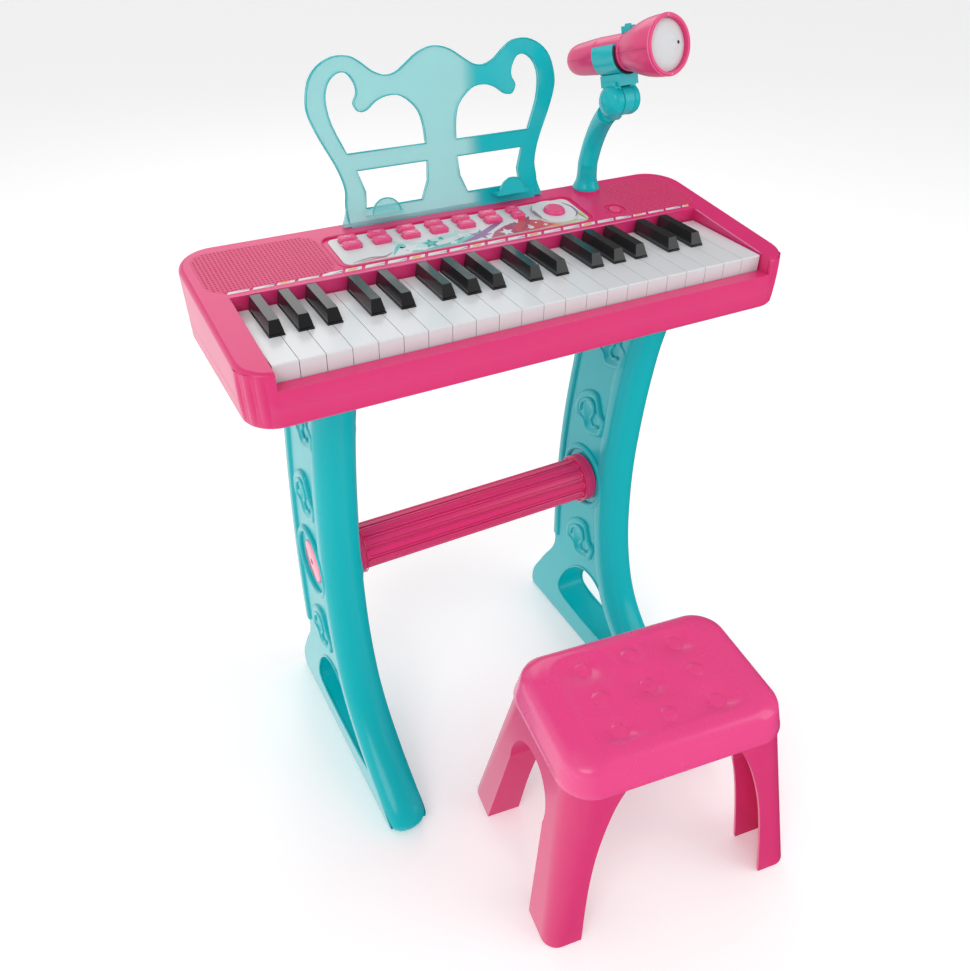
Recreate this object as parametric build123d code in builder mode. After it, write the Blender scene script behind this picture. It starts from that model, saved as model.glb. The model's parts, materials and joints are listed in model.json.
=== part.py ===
from build123d import *
import math
import os

os.makedirs("parts", exist_ok=True)

# Toy electronic keyboard on a two-legged stand, with a clip-in microphone and a stool.
# Millimetres. Z is up, the player sits on the -Y side, X runs along the keys.
# Each piece is drawn about the point on the floor below the middle of the keyboard body, then
# moved back by BODY_Y, so the origin is on the floor at the middle of the keyboard and stool together.

# ---------------------------------------------------------------- driving dimensions
BODY_Y = 105.3
PITCH = 18.7
WHITE_KEYS = 22
BLACK_AFTER = (1, 2, 3, 5, 6, 8, 9, 10, 12, 13, 15, 16, 17, 19, 20)
KEYS_HALF = WHITE_KEYS * PITCH / 2
KEY_TOP = 491.5
KEY_FRONT = -88.0
KEY_BACK = 49.0
KEY_DROP = 16.0
KEY_GAP = 0.5
HINGE_Y = 44.0
HINGE_Z = 481.0
RAIL_R = 2.5

TOP_Z = 501.9
TOP_SLOPE = 5.67
BODY_BOTTOM = 450.0
SEAM = 466.0
WALL = 2.5
SLOT_HALF = 207.0
LIP_Z = 479.0

LEG_W = 32.8
LEG_OUT = 165.2
LEG_MID = LEG_OUT - LEG_W / 2
BAR_Y = 25.0
BAR_Z = 220.0
BAR_R = 20.4

PANEL_X = -2.8
PANEL_Y = 37.4
PANEL_W = 221.0
PANEL_D = 43.5
BUTTON_X = tuple(-97.5 + 25.0 * i for i in range(7))
REAR_Y = 53.2
FRONT_Y = 42.6
DIAL_X = 84.0
POWER = (137.5, 23.5)
STRIP_Y = 8.2

REST_X = -1.0
REST_Y = 72.5
REST_LEAN = 9.4
REST_T = 3.0

MIC_X = 135.5
MIC_Y = 67.5
MIC_YAW = 7.5
MIC_TILT = 15.9

STOOL_X = 39.0
STOOL_Y = -222.0
STOOL_YAW = -7.0
SEAT_W = 206.0
SEAT_D = 140.0
SEAT_Z = 166.0
SEAT_H = 30.0
BASE_FOOT = (244.0, 180.0)
BASE_TOP = (200.0, 134.0)

UPWARD = (Align.CENTER, Align.CENTER, Align.MIN)


def save(builder, name):
    placed = builder.part.moved(Location((0, BODY_Y, 0)))
    placed.label = name
    export_step(placed, f"parts/{name}.step")


# ---------------------------------------------------------------- keyboard body
def top_plane(depth=0.0):
    """Plane parallel to the sloping top of the body, depth below it."""
    slope = math.radians(TOP_SLOPE)
    top = Plane(origin=(0, 0, TOP_Z), x_dir=(1, 0, 0), z_dir=(0, -math.sin(slope), math.cos(slope)))
    return top.offset(-depth)


def top_z(y):
    """Height of the body's top at y."""
    return TOP_Z + y * math.tan(math.radians(TOP_SLOPE))


def body_sketch(z, inset):
    """Body outline at height z, moved inwards by inset."""
    t = (z - BODY_BOTTOM) / 50.0
    half = 228.0 + 1.6 * t - inset
    back = 80.5 + 1.8 * t - inset
    front = -101.5 + 1.1 * t + inset
    with BuildSketch(Plane.XY.offset(z)) as outline:
        with BuildLine():
            Polyline((-half, front), (half, front), (half, back), (-half, back), close=True)
        make_face()
        fillet(outline.vertices().group_by(Axis.Y)[0], 24 - inset)
        fillet(outline.vertices().group_by(Axis.Y)[-1], 31 - inset)
    return outline.sketch


def shell_block(z_low, z_high, inset):
    """Solid between two body outlines, fitted to the body's slanting walls."""
    with BuildPart() as block:
        add(body_sketch(z_low, inset))
        add(body_sketch(z_high, inset))
        loft(ruled=True)
    return block.part


def rest_plane():
    upright = Plane(origin=(REST_X, REST_Y, top_z(REST_Y)), x_dir=(1, 0, 0), z_dir=(0, -1, 0))
    return upright.rotated((-REST_LEAN, 0, 0))


with BuildPart() as upper_hollow:
    add(shell_block(SEAM - 1, 530, WALL))
    split(bisect_by=top_plane(WALL), keep=Keep.BOTTOM)

with BuildPart() as upper_shell:
    add(shell_block(SEAM, 530, 0))
    split(bisect_by=top_plane(), keep=Keep.BOTTOM)
    fillet(upper_shell.faces().sort_by(Axis.Z)[-1].edges(), 4.0)
    add(upper_hollow.part, mode=Mode.SUBTRACT)
    # cheek walls beside the keys
    for x in (-SLOT_HALF - 2.2, SLOT_HALF):
        with BuildSketch(Plane.YZ.offset(x)):
            with BuildLine():
                Polyline(
                    (-97.5, LIP_Z - 2.5), (13, LIP_Z - 2.5), (13, top_z(13) - 1), (-97.5, top_z(-97.5) - 1),
                    close=True,
                )
            make_face()
        extrude(amount=2.2)
    # wall above the tails of the keys
    with BuildSketch(Plane.YZ.offset(-SLOT_HALF - 1)):
        with Locations((2.1, (489.1 + TOP_Z - 1) / 2)):
            Rectangle(2.2, TOP_Z - 1 - 489.1)
    extrude(amount=2 * SLOT_HALF + 2)
    # key opening, and the step down to the lip in front of the keys
    with BuildSketch(Plane.XY.offset(SEAM)):
        with Locations((0, (KEY_FRONT - 1.4 + 1.0) / 2)):
            Rectangle(2 * SLOT_HALF, 1.0 - KEY_FRONT + 1.4)
    extrude(amount=60, mode=Mode.SUBTRACT)
    with BuildSketch(Plane.XY.offset(LIP_Z)):
        with Locations((0, -102)):
            Rectangle(2 * SLOT_HALF, 30)
    extrude(amount=40, mode=Mode.SUBTRACT)
    with BuildSketch(Plane.XY.offset(LIP_Z - 2.5)):
        with Locations((0, -94.7)):
            Rectangle(2 * SLOT_HALF, 10.6)
    extrude(amount=2.5)
    # dished field and opening for the control panel
    with BuildSketch(top_plane(1.2)):
        with Locations((PANEL_X, PANEL_Y)):
            RectangleRounded(PANEL_W + 8, PANEL_D + 5, 7)
    extrude(amount=5, mode=Mode.SUBTRACT)
    with BuildSketch(top_plane(6)):
        with Locations((PANEL_X, PANEL_Y)):
            RectangleRounded(PANEL_W - 5, PANEL_D - 2.6, 4)
    extrude(amount=10, mode=Mode.SUBTRACT)
    # speaker fields
    with BuildSketch(top_plane(0.5)):
        with Locations((-170, 40)):
            RectangleRounded(100, 62, 14)
        with Locations((172, 40)):
            RectangleRounded(92, 62, 14)
    extrude(amount=5, mode=Mode.SUBTRACT)
    for x in (-178, 178):
        with BuildSketch(top_plane(6)):
            with Locations((x, 60)):
                with GridLocations(8, 7, 4, 3):
                    Circle(1.2)
        extrude(amount=12, mode=Mode.SUBTRACT)
    # strip groove between the panel and the keys
    with BuildSketch(top_plane(0.4)):
        with Locations((0, STRIP_Y)):
            Rectangle(416, 5.8)
    extrude(amount=5, mode=Mode.SUBTRACT)
    # power button dish and hole
    with Locations(top_plane(-1.0)):
        with Locations((POWER[0], POWER[1], 0)):
            Cone(6.2, 9.6, 4, mode=Mode.SUBTRACT)
    with BuildSketch(top_plane(8)):
        with Locations(POWER):
            Circle(5.3)
    extrude(amount=12, mode=Mode.SUBTRACT)
    # slot for the music rest and its pocket below the top
    with BuildSketch(Plane.XY.offset(top_z(REST_Y) - 12)):
        with Locations((REST_X, REST_Y - 1.3)):
            Rectangle(179, 9.6)
    extrude(amount=11)
    with BuildSketch(rest_plane()):
        with Locations((0, 2)):
            Rectangle(173.4, 22)
    extrude(amount=REST_T / 2 + 0.2, both=True, mode=Mode.SUBTRACT)
    # level pad and socket for the microphone arm
    with BuildSketch(Plane.XY.offset(top_z(MIC_Y) - 3)):
        with Locations((MIC_X, MIC_Y)):
            Circle(11.8)
    extrude(amount=4.2)
    with BuildSketch(Plane.XY.offset(top_z(MIC_Y) - 17)):
        with Locations((MIC_X, MIC_Y)):
            Circle(9.4)
    extrude(amount=16)
    with BuildSketch(Plane.XY.offset(top_z(MIC_Y) - 14)):
        with Locations((MIC_X, MIC_Y)):
            Circle(6.06)
    extrude(amount=20, mode=Mode.SUBTRACT)
save(upper_shell, "upper_shell")

SCREW_XY = [(x, y) for x in (-205, -95, 95, 205) for y in (-84, 66)]
lower_block = shell_block(BODY_BOTTOM, SEAM - 0.02, 0)
lower_hollow = shell_block(BODY_BOTTOM + WALL, SEAM + 1, WALL)
with BuildPart() as lower_shell:
    add(lower_block)
    fillet(lower_shell.faces().sort_by(Axis.Z)[0].edges(), 4.0)
    add(lower_hollow, mode=Mode.SUBTRACT)
    # screw bosses
    with BuildSketch(Plane.XY.offset(BODY_BOTTOM + 1)):
        with Locations(SCREW_XY):
            Circle(4.2)
    extrude(amount=SEAM - 2 - BODY_BOTTOM)
    with BuildSketch(Plane.XY.offset(BODY_BOTTOM)):
        with Locations(SCREW_XY):
            Circle(1.6)
    extrude(amount=SEAM - BODY_BOTTOM, mode=Mode.SUBTRACT)
    with BuildSketch(Plane.XY.offset(BODY_BOTTOM)):
        with Locations(SCREW_XY):
            Circle(3.0)
    extrude(amount=2.4, mode=Mode.SUBTRACT)
    # hinge rail for the keys, on a web that stands on the floor of the shell
    with BuildSketch(Plane.YZ.offset(-KEYS_HALF)):
        with Locations((HINGE_Y, HINGE_Z)):
            Circle(RAIL_R)
        with Locations((HINGE_Y, (HINGE_Z + BODY_BOTTOM + 1) / 2)):
            Rectangle(2.0, HINGE_Z - BODY_BOTTOM - 1)
    extrude(amount=2 * KEYS_HALF)
    # guide fence below the fronts of the keys
    with BuildSketch(Plane.XY.offset(BODY_BOTTOM + 1)):
        with Locations((0, -62)):
            Rectangle(2 * KEYS_HALF, 2.2)
    extrude(amount=14)
    # sockets for the two legs
    for sign in (-1, 1):
        with BuildSketch(Plane.XY.offset(BODY_BOTTOM + 1)):
            with Locations((sign * LEG_MID, 0)):
                Rectangle(30, 76)
        extrude(amount=13)
        with BuildSketch(Plane.XY.offset(BODY_BOTTOM)):
            with Locations((sign * LEG_MID, 0)):
                Rectangle(24.3, 70.3)
        extrude(amount=11.5, mode=Mode.SUBTRACT)
    # battery bay: a sunk floor with a wall round it
    with BuildSketch(Plane.XY.offset(BODY_BOTTOM + 1)):
        with Locations((0, 10)):
            Rectangle(124, 62)
    extrude(amount=14)
    with BuildSketch(Plane.XY.offset(BODY_BOTTOM + 3.2)):
        with Locations((0, 10)):
            Rectangle(112, 50)
    extrude(amount=12.5, mode=Mode.SUBTRACT)
    with BuildSketch(Plane.XY.offset(BODY_BOTTOM)):
        with Locations((0, 10)):
            Rectangle(112, 50)
    extrude(amount=12.5, mode=Mode.SUBTRACT)
    with BuildSketch(Plane.XY.offset(BODY_BOTTOM)):
        with Locations((0, 14)):
            Rectangle(118.4, 64.4)
    extrude(amount=2.3, mode=Mode.SUBTRACT)
save(lower_shell, "lower_shell")

with BuildPart() as battery_door:
    with BuildSketch(Plane.XY.offset(BODY_BOTTOM + 0.1)):
        with Locations((0, 10)):
            Rectangle(118, 56)
    extrude(amount=2.1)
    fillet(battery_door.edges().filter_by(Axis.Z), 2.0)
    with BuildSketch(Plane.XY.offset(BODY_BOTTOM)):
        with Locations((0, -6)):
            with GridLocations(0, 3, 1, 4):
                SlotOverall(22, 1.4)
    extrude(amount=0.7, mode=Mode.SUBTRACT)
save(battery_door, "battery_door")

with BuildPart() as screws:
    for x, y in SCREW_XY:
        with Locations((x, y, BODY_BOTTOM + 0.3)):
            Cylinder(2.8, 2.0, align=UPWARD)
        with Locations((x, y, BODY_BOTTOM + 2.3)):
            Cylinder(1.5, 11.0, align=UPWARD)
        with Locations((x, y, BODY_BOTTOM + 0.3)):
            Box(3.4, 0.8, 1.4, mode=Mode.SUBTRACT)
            Box(0.8, 3.4, 1.4, mode=Mode.SUBTRACT)
save(screws, "screws")


# ---------------------------------------------------------------- electronics
with BuildPart() as main_board:
    with BuildSketch(Plane.XY.offset(465.0)):
        with Locations((0, -33)):
            Rectangle(392, 60)
    extrude(amount=1.6)
    with BuildSketch(Plane.XY.offset(466.0)):
        with Locations((40, -20), (-60, -20)):
            Rectangle(22, 20)
        with Locations((0, -44)):
            with GridLocations(PITCH, 1, WHITE_KEYS - 2, 1):
                Circle(4.5)
    extrude(amount=2.0)
save(main_board, "main_board")

with BuildPart() as speakers:
    with Locations(top_plane(15.1)):
        with Locations((-178, 60.5, 0), (178, 60.5, 0)):
            Cone(9, 16, 10, align=UPWARD)
    with Locations(top_plane(5.1)):
        with Locations((-178, 60.5, 0), (178, 60.5, 0)):
            Cylinder(17, 2.5, align=UPWARD)
    with Locations(top_plane(22.1)):
        with Locations((-178, 60.5, 0), (178, 60.5, 0)):
            Cylinder(10, 7, align=UPWARD)
    with Locations(top_plane(12.1)):
        with Locations((-178, 60.5, 0), (178, 60.5, 0)):
            Cone(5, 15, 10, align=UPWARD, mode=Mode.SUBTRACT)
save(speakers, "speakers")


# ---------------------------------------------------------------- keys
def black_x(i):
    """Centre of the black key that sits between white keys i-1 and i."""
    left = i - 1 in BLACK_AFTER
    right = i + 1 in BLACK_AFTER
    shift = 0.0
    if right and not left:
        shift = -2.4
    if left and not right:
        shift = 2.4
    return -KEYS_HALF + i * PITCH + shift


def white_key(i):
    """White key i, notched beside each black key, hollow below, hooked over the rail."""
    x0 = -KEYS_HALF + i * PITCH + KEY_GAP / 2
    x1 = x0 + PITCH - KEY_GAP
    left = black_x(i) + 6.0 if i in BLACK_AFTER else x0
    right = black_x(i + 1) - 6.0 if i + 1 in BLACK_AFTER else x1
    notch = -50.5
    with BuildPart() as key:
        with BuildSketch(Plane.XY.offset(KEY_TOP)):
            with Locations(((x0 + x1) / 2, (KEY_FRONT + notch) / 2)):
                Rectangle(x1 - x0, notch - KEY_FRONT)
            with Locations(((left + right) / 2, (notch + KEY_BACK) / 2)):
                Rectangle(right - left, KEY_BACK - notch)
        extrude(amount=-KEY_DROP)
        fillet(key.edges().filter_by(Axis.X).group_by(Axis.Y)[0].sort_by(Axis.Z)[-1:], 0.9)
        # hollow underside
        with BuildSketch(Plane.XY.offset(KEY_TOP - 2.0)):
            with Locations(((x0 + x1) / 2, (KEY_FRONT + notch) / 2)):
                Rectangle(x1 - x0 - 3.0, notch - KEY_FRONT - 3.0)
            with Locations(((left + right) / 2, (notch - 3) / 2)):
                Rectangle(right - left - 3.0, -3 - notch)
        extrude(amount=-KEY_DROP, mode=Mode.SUBTRACT)
        with BuildSketch(Plane.XY.offset(KEY_TOP - 5.4)):
            with Locations(((left + right) / 2, 18)):
                Rectangle(right - left - 3.0, 38)
        extrude(amount=-KEY_DROP, mode=Mode.SUBTRACT)
        # the tail is thinner and drops over the hinge rail
        with BuildSketch(Plane.YZ.offset(x0 - 1)):
            with Locations((25, KEY_TOP - 1)):
                Rectangle(52, 4)
            with Locations((HINGE_Y, HINGE_Z)):
                Circle(RAIL_R + 0.06)
            with Locations((HINGE_Y, HINGE_Z - 6)):
                Rectangle(3.2, 12)
        extrude(amount=PITCH + 2, mode=Mode.SUBTRACT)
    return key


def black_key(i):
    """Black key i: tall tapered cap with a sloping front, on a tail hooked over the rail."""
    x = black_x(i)
    with BuildPart() as key:
        with BuildSketch(Plane.YZ.offset(x - 5.3)):
            with BuildLine():
                Polyline(
                    (-50.0, KEY_TOP - 12.0), (-50.0, KEY_TOP + 0.6), (-45.4, KEY_TOP + 10.5), (-1.0, KEY_TOP + 10.5),
                    (-1.0, KEY_TOP - 3.2), (KEY_BACK, KEY_TOP - 3.2), (KEY_BACK, KEY_TOP - 12.0), close=True,
                )
            make_face()
        extrude(amount=10.6)
        top = key.faces().filter_by(Plane.XY).sort_by(Axis.Z)[-1]
        chamfer(top.edges().filter_by(Axis.Y), 1.6, 7.5)
        with BuildSketch(Plane.XY.offset(KEY_TOP - 12.0)):
            with Locations((x, -25)):
                Rectangle(7.4, 44)
        extrude(amount=14.0, mode=Mode.SUBTRACT)
        with BuildSketch(Plane.YZ.offset(x - 6)):
            with Locations((HINGE_Y, HINGE_Z)):
                Circle(RAIL_R + 0.06)
            with Locations((HINGE_Y, HINGE_Z - 6)):
                Rectangle(3.2, 12)
        extrude(amount=12, mode=Mode.SUBTRACT)
    return key


for number in range(WHITE_KEYS):
    save(white_key(number), f"white_key_{number + 1:02d}")
for number, boundary in enumerate(BLACK_AFTER):
    save(black_key(boundary), f"black_key_{number + 1:02d}")


# ---------------------------------------------------------------- control panel and buttons
def row_holes(y, width, depth, grow):
    for index, x in enumerate(BUTTON_X):
        with Locations((x - 1 if index == 6 else x, y)):
            RectangleRounded((width - 4 if index == 6 else width) + grow, depth + grow, 2.5)


with BuildPart() as control_panel:
    with BuildSketch(top_plane(6.0)):
        with Locations((PANEL_X, PANEL_Y)):
            RectangleRounded(PANEL_W - 5.4, PANEL_D - 3.0, 3.8)
    extrude(amount=4.8)
    with BuildSketch(top_plane(1.2)):
        with Locations((PANEL_X, PANEL_Y)):
            RectangleRounded(PANEL_W, PANEL_D, 6)
    extrude(amount=0.8)
    with BuildSketch(top_plane(0.6)):
        with Locations((DIAL_X, PANEL_Y)):
            Circle(20.4)
    extrude(amount=1.8)
    with BuildSketch(top_plane(8.0)):
        row_holes(REAR_Y, 14.6, 8.4, 0.6)
        row_holes(FRONT_Y, 14.6, 9.4, 0.6)
        with Locations((DIAL_X, PANEL_Y)):
            Circle(9.4)
    extrude(amount=12, mode=Mode.SUBTRACT)
save(control_panel, "control_panel")


def button_row(y, depth):
    """Seven domed buttons on one thin strip below the panel."""
    with BuildPart() as row:
        with BuildSketch(top_plane(9.4)):
            row_holes(y, 14.6, depth, 0)
        extrude(amount=12.6)
        fillet(row.faces().filter_by(top_plane()).group_by(Axis.Z)[-1].edges(), 1.5)
        with BuildSketch(top_plane(9.4)):
            with Locations(((BUTTON_X[0] + BUTTON_X[-1]) / 2, y)):
                Rectangle(BUTTON_X[-1] - BUTTON_X[0] + 16, 9.8)
        extrude(amount=1.2)
    return row


save(button_row(REAR_Y, 8.4), "rear_button_row")
save(button_row(FRONT_Y, 9.4), "front_button_row")

with BuildPart() as start_button:
    with BuildSketch(top_plane(7.4)):
        with Locations((DIAL_X, PANEL_Y)):
            Circle(9.1)
    extrude(amount=12.0)
    fillet(start_button.faces().sort_by(Axis.Z)[-1].edges(), 2.6)
save(start_button, "start_button")

with BuildPart() as power_button:
    with BuildSketch(top_plane(8.2)):
        with Locations(POWER):
            Circle(5.0)
    extrude(amount=9.6)
    fillet(power_button.faces().sort_by(Axis.Z)[-1].edges(), 1.6)
save(power_button, "power_button")


# ---------------------------------------------------------------- music rest
HALF_OUTLINE = [
    (92, 3), (87.5, 15.5), (86, 28), (88.5, 40), (93, 51.5), (101.5, 69), (107.5, 84.5), (108.5, 95.5),
    (104.5, 110), (96, 119.5), (83.5, 125), (71, 124.5), (62, 119.5), (53, 112.5), (43.5, 109), (34, 110),
    (24.5, 115.5), (13.5, 122.5), (0, 126),
]
HALF_WINDOW = [
    (13.5, 55.5), (14, 68), (17, 80), (24, 88.5), (33, 94), (43.5, 94.5), (53, 91.5), (61, 86),
    (67.5, 85.5), (71, 91.5), (67.5, 98.5), (68.5, 106), (74, 113.5), (82.5, 113.5), (90, 107), (93.5, 95.5),
    (91, 78), (81.5, 55.5),
]
with BuildPart() as music_rest:
    with BuildSketch(rest_plane()):
        for side in (-1, 1):
            with BuildLine():
                Polyline(
                    (0, 126), (0, -9), (side * 85.5, -9), (side * 85.5, 0.7), (side * 92, 0.7), (side * 92, 3),
                )
                Spline([(side * x, y) for x, y in HALF_OUTLINE])
            make_face()
        for side in (-1, 1):
            with BuildLine():
                Spline([(side * x, y) for x, y in HALF_WINDOW])
                Polyline((side * 13.5, 55.5), (side * 81.5, 55.5))
            make_face(mode=Mode.SUBTRACT)
            with BuildLine():
                Polyline(
                    (side * 13.5, 42.5), (side * 14.5, 27), (side * 21, 12.5), (side * 71, 12.5),
                    (side * 70, 25.5), (side * 75, 42.5), close=True,
                )
            make_face(mode=Mode.SUBTRACT)
    extrude(amount=REST_T / 2, both=True)
    for side in (-1, 1):
        with BuildSketch(rest_plane().offset(REST_T / 2 - 0.5)):
            with Locations((side * 58, 8.5)):
                Rectangle(30, 2.4)
        extrude(amount=12)
        with BuildSketch(rest_plane().offset(REST_T / 2 + 9.0)):
            with Locations((side * 58, 9)):
                Circle(12)
            with Locations((side * 58, -5)):
                Rectangle(40, 25, mode=Mode.SUBTRACT)
        extrude(amount=2.5)
save(music_rest, "music_rest")


# ---------------------------------------------------------------- microphone
YAW = math.radians(MIC_YAW)
TILT = math.radians(MIC_TILT)
AHEAD = Vector(math.sin(YAW), -math.cos(YAW), 0)
ACROSS = Vector(math.cos(YAW), math.sin(YAW), 0)
MIC_FOOT = Vector(MIC_X, MIC_Y, top_z(MIC_Y) + 1.2)
PIVOT = MIC_FOOT + AHEAD * 34.0 + Vector(0, 0, 81.9)
MIC_DIR = AHEAD * math.cos(TILT) + Vector(0, 0, math.sin(TILT))
MIC_UP = Vector(0, 0, math.cos(TILT)) - AHEAD * math.sin(TILT)
PIVOT_T = 52.7
DROP = 34.8
TAIL = PIVOT - MIC_DIR * PIVOT_T + MIC_UP * DROP
CRADLE_T = 53.2

# the arm's own plane: x is ahead of the foot, y is up
arm_plane = Plane(origin=MIC_FOOT, x_dir=AHEAD, z_dir=AHEAD.cross(Vector(0, 0, 1)))
# the microphone's own plane: x runs from tail to head, y is up
mic_plane = Plane(origin=TAIL, x_dir=MIC_DIR, z_dir=MIC_DIR.cross(MIC_UP))
mic_section = Plane(origin=TAIL, x_dir=ACROSS, z_dir=MIC_DIR)

with BuildPart() as mic_arm:
    with BuildLine(arm_plane) as spine:
        Line((0, 0.2), (0, 22))
        TangentArc((0, 22), (19.9, 68.3), tangent=(0, 1))
    with BuildSketch(Plane.XY.offset(MIC_FOOT.Z + 0.2)):
        with Locations((MIC_X, MIC_Y)):
            Circle(8.6)
    sweep(path=spine.line)
    with BuildSketch(arm_plane):
        with Locations((34.0, 81.9)):
            Circle(11.6)
        with Locations((24.7, 72.2)):
            Circle(8.6)
    extrude(amount=4.9, both=True)
    with Locations(MIC_FOOT + Vector(0, 0, 2.6)):
        Cone(11.0, 9.2, 5.0)
    with Locations(MIC_FOOT + Vector(0, 0, -5.9)):
        Cylinder(6.0, 12.4)
    with BuildSketch(arm_plane):
        with Locations((34.0, 81.9)):
            Circle(2.55)
    extrude(amount=6, both=True, mode=Mode.SUBTRACT)
save(mic_arm, "mic_arm")

with BuildPart() as mic_clip:
    with BuildSketch(mic_section.offset(CRADLE_T - 12.5)):
        Circle(16.6)
        Circle(14.08, mode=Mode.SUBTRACT)
        with Locations((0, -19.5)):
            Rectangle(18, 9)
        Circle(14.08, mode=Mode.SUBTRACT)
        with Locations((0, 19)):
            Rectangle(40, 24, mode=Mode.SUBTRACT)
    extrude(amount=25)
    with BuildSketch(mic_plane):
        with Locations((PIVOT_T, -DROP)):
            Circle(12.0)
        with Locations((PIVOT_T, -25.5)):
            Rectangle(15, 10)
    extrude(amount=11.0, both=True)
    with BuildSketch(mic_plane):
        with Locations((PIVOT_T, -DROP)):
            Circle(13.2)
    extrude(amount=5.0, both=True, mode=Mode.SUBTRACT)
    with BuildSketch(mic_plane.offset(-12)):
        with Locations((PIVOT_T, -DROP)):
            Circle(2.5)
    extrude(amount=24)
    fillet(mic_clip.edges().filter_by(GeomType.CIRCLE).filter_by(lambda e: abs(e.radius - 12.0) < 0.01), 2.0)
save(mic_clip, "mic_clip")

MIC_PROFILE = [(0.5, 6.0), (1.7, 9.0), (5, 11.0), (13, 12.3), (36, 14.0)]
HEAD_PROFILE = [(68, 14.0), (75, 15.8), (83, 18.4), (93, 20.8), (103, 21.8), (110, 22.0)]
with BuildPart() as mic_body:
    with BuildSketch(mic_plane):
        with BuildLine():
            Polyline((112.5, 21.4), (112.5, 19.2), (105, 18.4), (99, 15), (99, 0), (0.5, 0), (0.5, 6))
            Spline(MIC_PROFILE)
            Line((36, 14.0), (68, 14.0))
            Spline(HEAD_PROFILE)
            Line((110, 22.0), (112.5, 21.4))
        make_face()
    revolve(axis=Axis(TAIL, MIC_DIR))
    with BuildSketch(mic_plane.offset(-3.2)):
        with Locations((72, 18.0)):
            Rectangle(18, 8.5)
    extrude(amount=6.4, mode=Mode.SUBTRACT)
save(mic_body, "mic_body")

with BuildPart() as mic_lens:
    with BuildSketch(mic_plane):
        with BuildLine():
            Polyline(
                (111.6, 0), (100, 0), (100, 14.6), (105.4, 18.1), (108.6, 18.6), (110, 13.6), (111.1, 8), (111.6, 0),
            )
        make_face()
    revolve(axis=Axis(TAIL, MIC_DIR))
save(mic_lens, "mic_lens")

with BuildPart() as mic_switch:
    with BuildSketch(mic_plane.offset(-3.0)):
        with Locations((68.5, 16.2)):
            Rectangle(10, 4.6)
    extrude(amount=6.0)
    with BuildSketch(mic_plane.offset(-2.2)):
        with Locations((68.5, 19.0)):
            Rectangle(3, 2)
    extrude(amount=4.4)
save(mic_switch, "mic_switch")


# ---------------------------------------------------------------- stand
REAR_EDGE = [(40, 450), (49, 400), (58, 348), (67, 290), (72, 235), (74, 175), (71, 110)]
HEEL = [(71, 110), (70, 97), (76, 82), (88, 64), (101, 42), (111, 24), (114, 12), (112, 0)]
FRONT_EDGE = [
    (-126, 0), (-136, 4), (-139, 13), (-132, 24), (-117, 35), (-93, 50), (-65, 73), (-46, 95),
    (-33, 122), (-23, 160), (-18, 205), (-17, 255), (-22, 320), (-30, 375), (-37, 405), (-50, 450),
]
TEARDROP = [
    (-80, 36), (-70, 50), (-50, 68), (-31, 90), (-14, 101), (4, 103), (22, 96), (42, 76), (54, 52), (55, 38),
    (44, 31), (15, 28.5), (-25, 28.5), (-62, 30.5), (-80, 36),
]
SWIRL = [
    (-20, 11), (-6, 24), (9, 27), (15, 17), (19, 9), (27, 4), (25, -7), (22, -14), (10, -19), (-3, -21),
    (-8, -13), (-15, -10), (-24, -8), (-20, 11),
]


def leg_outline(inset):
    """Side view of a leg, its front edge moved back by inset."""
    with BuildSketch() as outline:
        with BuildLine():
            Spline(REAR_EDGE)
            Spline(HEEL)
            Line((112, 0), (-126 + inset, 0))
            Spline([(y + inset, z) for y, z in FRONT_EDGE])
            Line((-50 + inset, 450), (40, 450))
        make_face()
    return outline.sketch


def swirl_outline():
    with BuildSketch() as outline:
        with BuildLine():
            Spline([(-y, z) for y, z in SWIRL])
        make_face()
    return outline.sketch


def leg(side, name):
    """One leg of the stand: hollow side panels, teardrop foot, swirl reliefs."""
    inner = side * (LEG_OUT - LEG_W)
    start = min(inner, side * LEG_OUT)
    with BuildPart() as piece:
        for depth, inset in ((0, 7), (7, 0), (LEG_W - 7, 0), (LEG_W, 7)):
            with BuildSketch(Plane.YZ.offset(start + depth)):
                add(leg_outline(inset))
        loft(ruled=True)
        with BuildSketch(Plane.YZ.offset(start)):
            with BuildLine():
                Spline(TEARDROP)
            make_face()
        extrude(amount=LEG_W, mode=Mode.SUBTRACT)
        # tenon for the socket in the body
        with BuildSketch(Plane.XY.offset(449.0)):
            with Locations((side * LEG_MID, 0)):
                Rectangle(24.0, 70.0)
        extrude(amount=12.0)
        # cavity, open at the top
        with BuildSketch(Plane.YZ.offset(start + 3)):
            with BuildLine():
                Polyline(
                    (28, 462), (28, 440), (46, 350), (56, 285), (60, 230), (61, 180), (56, 130), (-8, 130),
                    (-10, 180), (-5, 230), (-5, 262), (-10, 322), (-20, 380), (-30, 440), (-30, 462),
                    close=True,
                )
            make_face()
        extrude(amount=LEG_W - 6, mode=Mode.SUBTRACT)
        # round seat for the crossbar and its cap
        with BuildSketch(Plane.YZ.offset(start - 1.4)):
            with Locations((BAR_Y, BAR_Z)):
                Circle(36)
                Circle(30, mode=Mode.SUBTRACT)
        extrude(amount=LEG_W + 2.8)
        with BuildSketch(Plane.YZ.offset(start)):
            with Locations((BAR_Y, BAR_Z)):
                Circle(30)
        extrude(amount=LEG_W)
        with BuildSketch(Plane.YZ.offset(start - 2)):
            with Locations((BAR_Y, BAR_Z)):
                Circle(21.2)
        extrude(amount=LEG_W + 4, mode=Mode.SUBTRACT)
        # swirls on both side panels
        for height, y in ((137, 22), (297, 24), (384, 3)):
            with BuildSketch(Plane.YZ.offset(start - 1.2)):
                with Locations((y, height)):
                    add(swirl_outline())
            extrude(amount=LEG_W + 2.4)
            with BuildSketch(Plane.YZ.offset(start + 2.6)):
                with Locations((y, height)):
                    add(swirl_outline())
            extrude(amount=LEG_W - 5.2, mode=Mode.SUBTRACT)
    save(piece, name)


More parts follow.
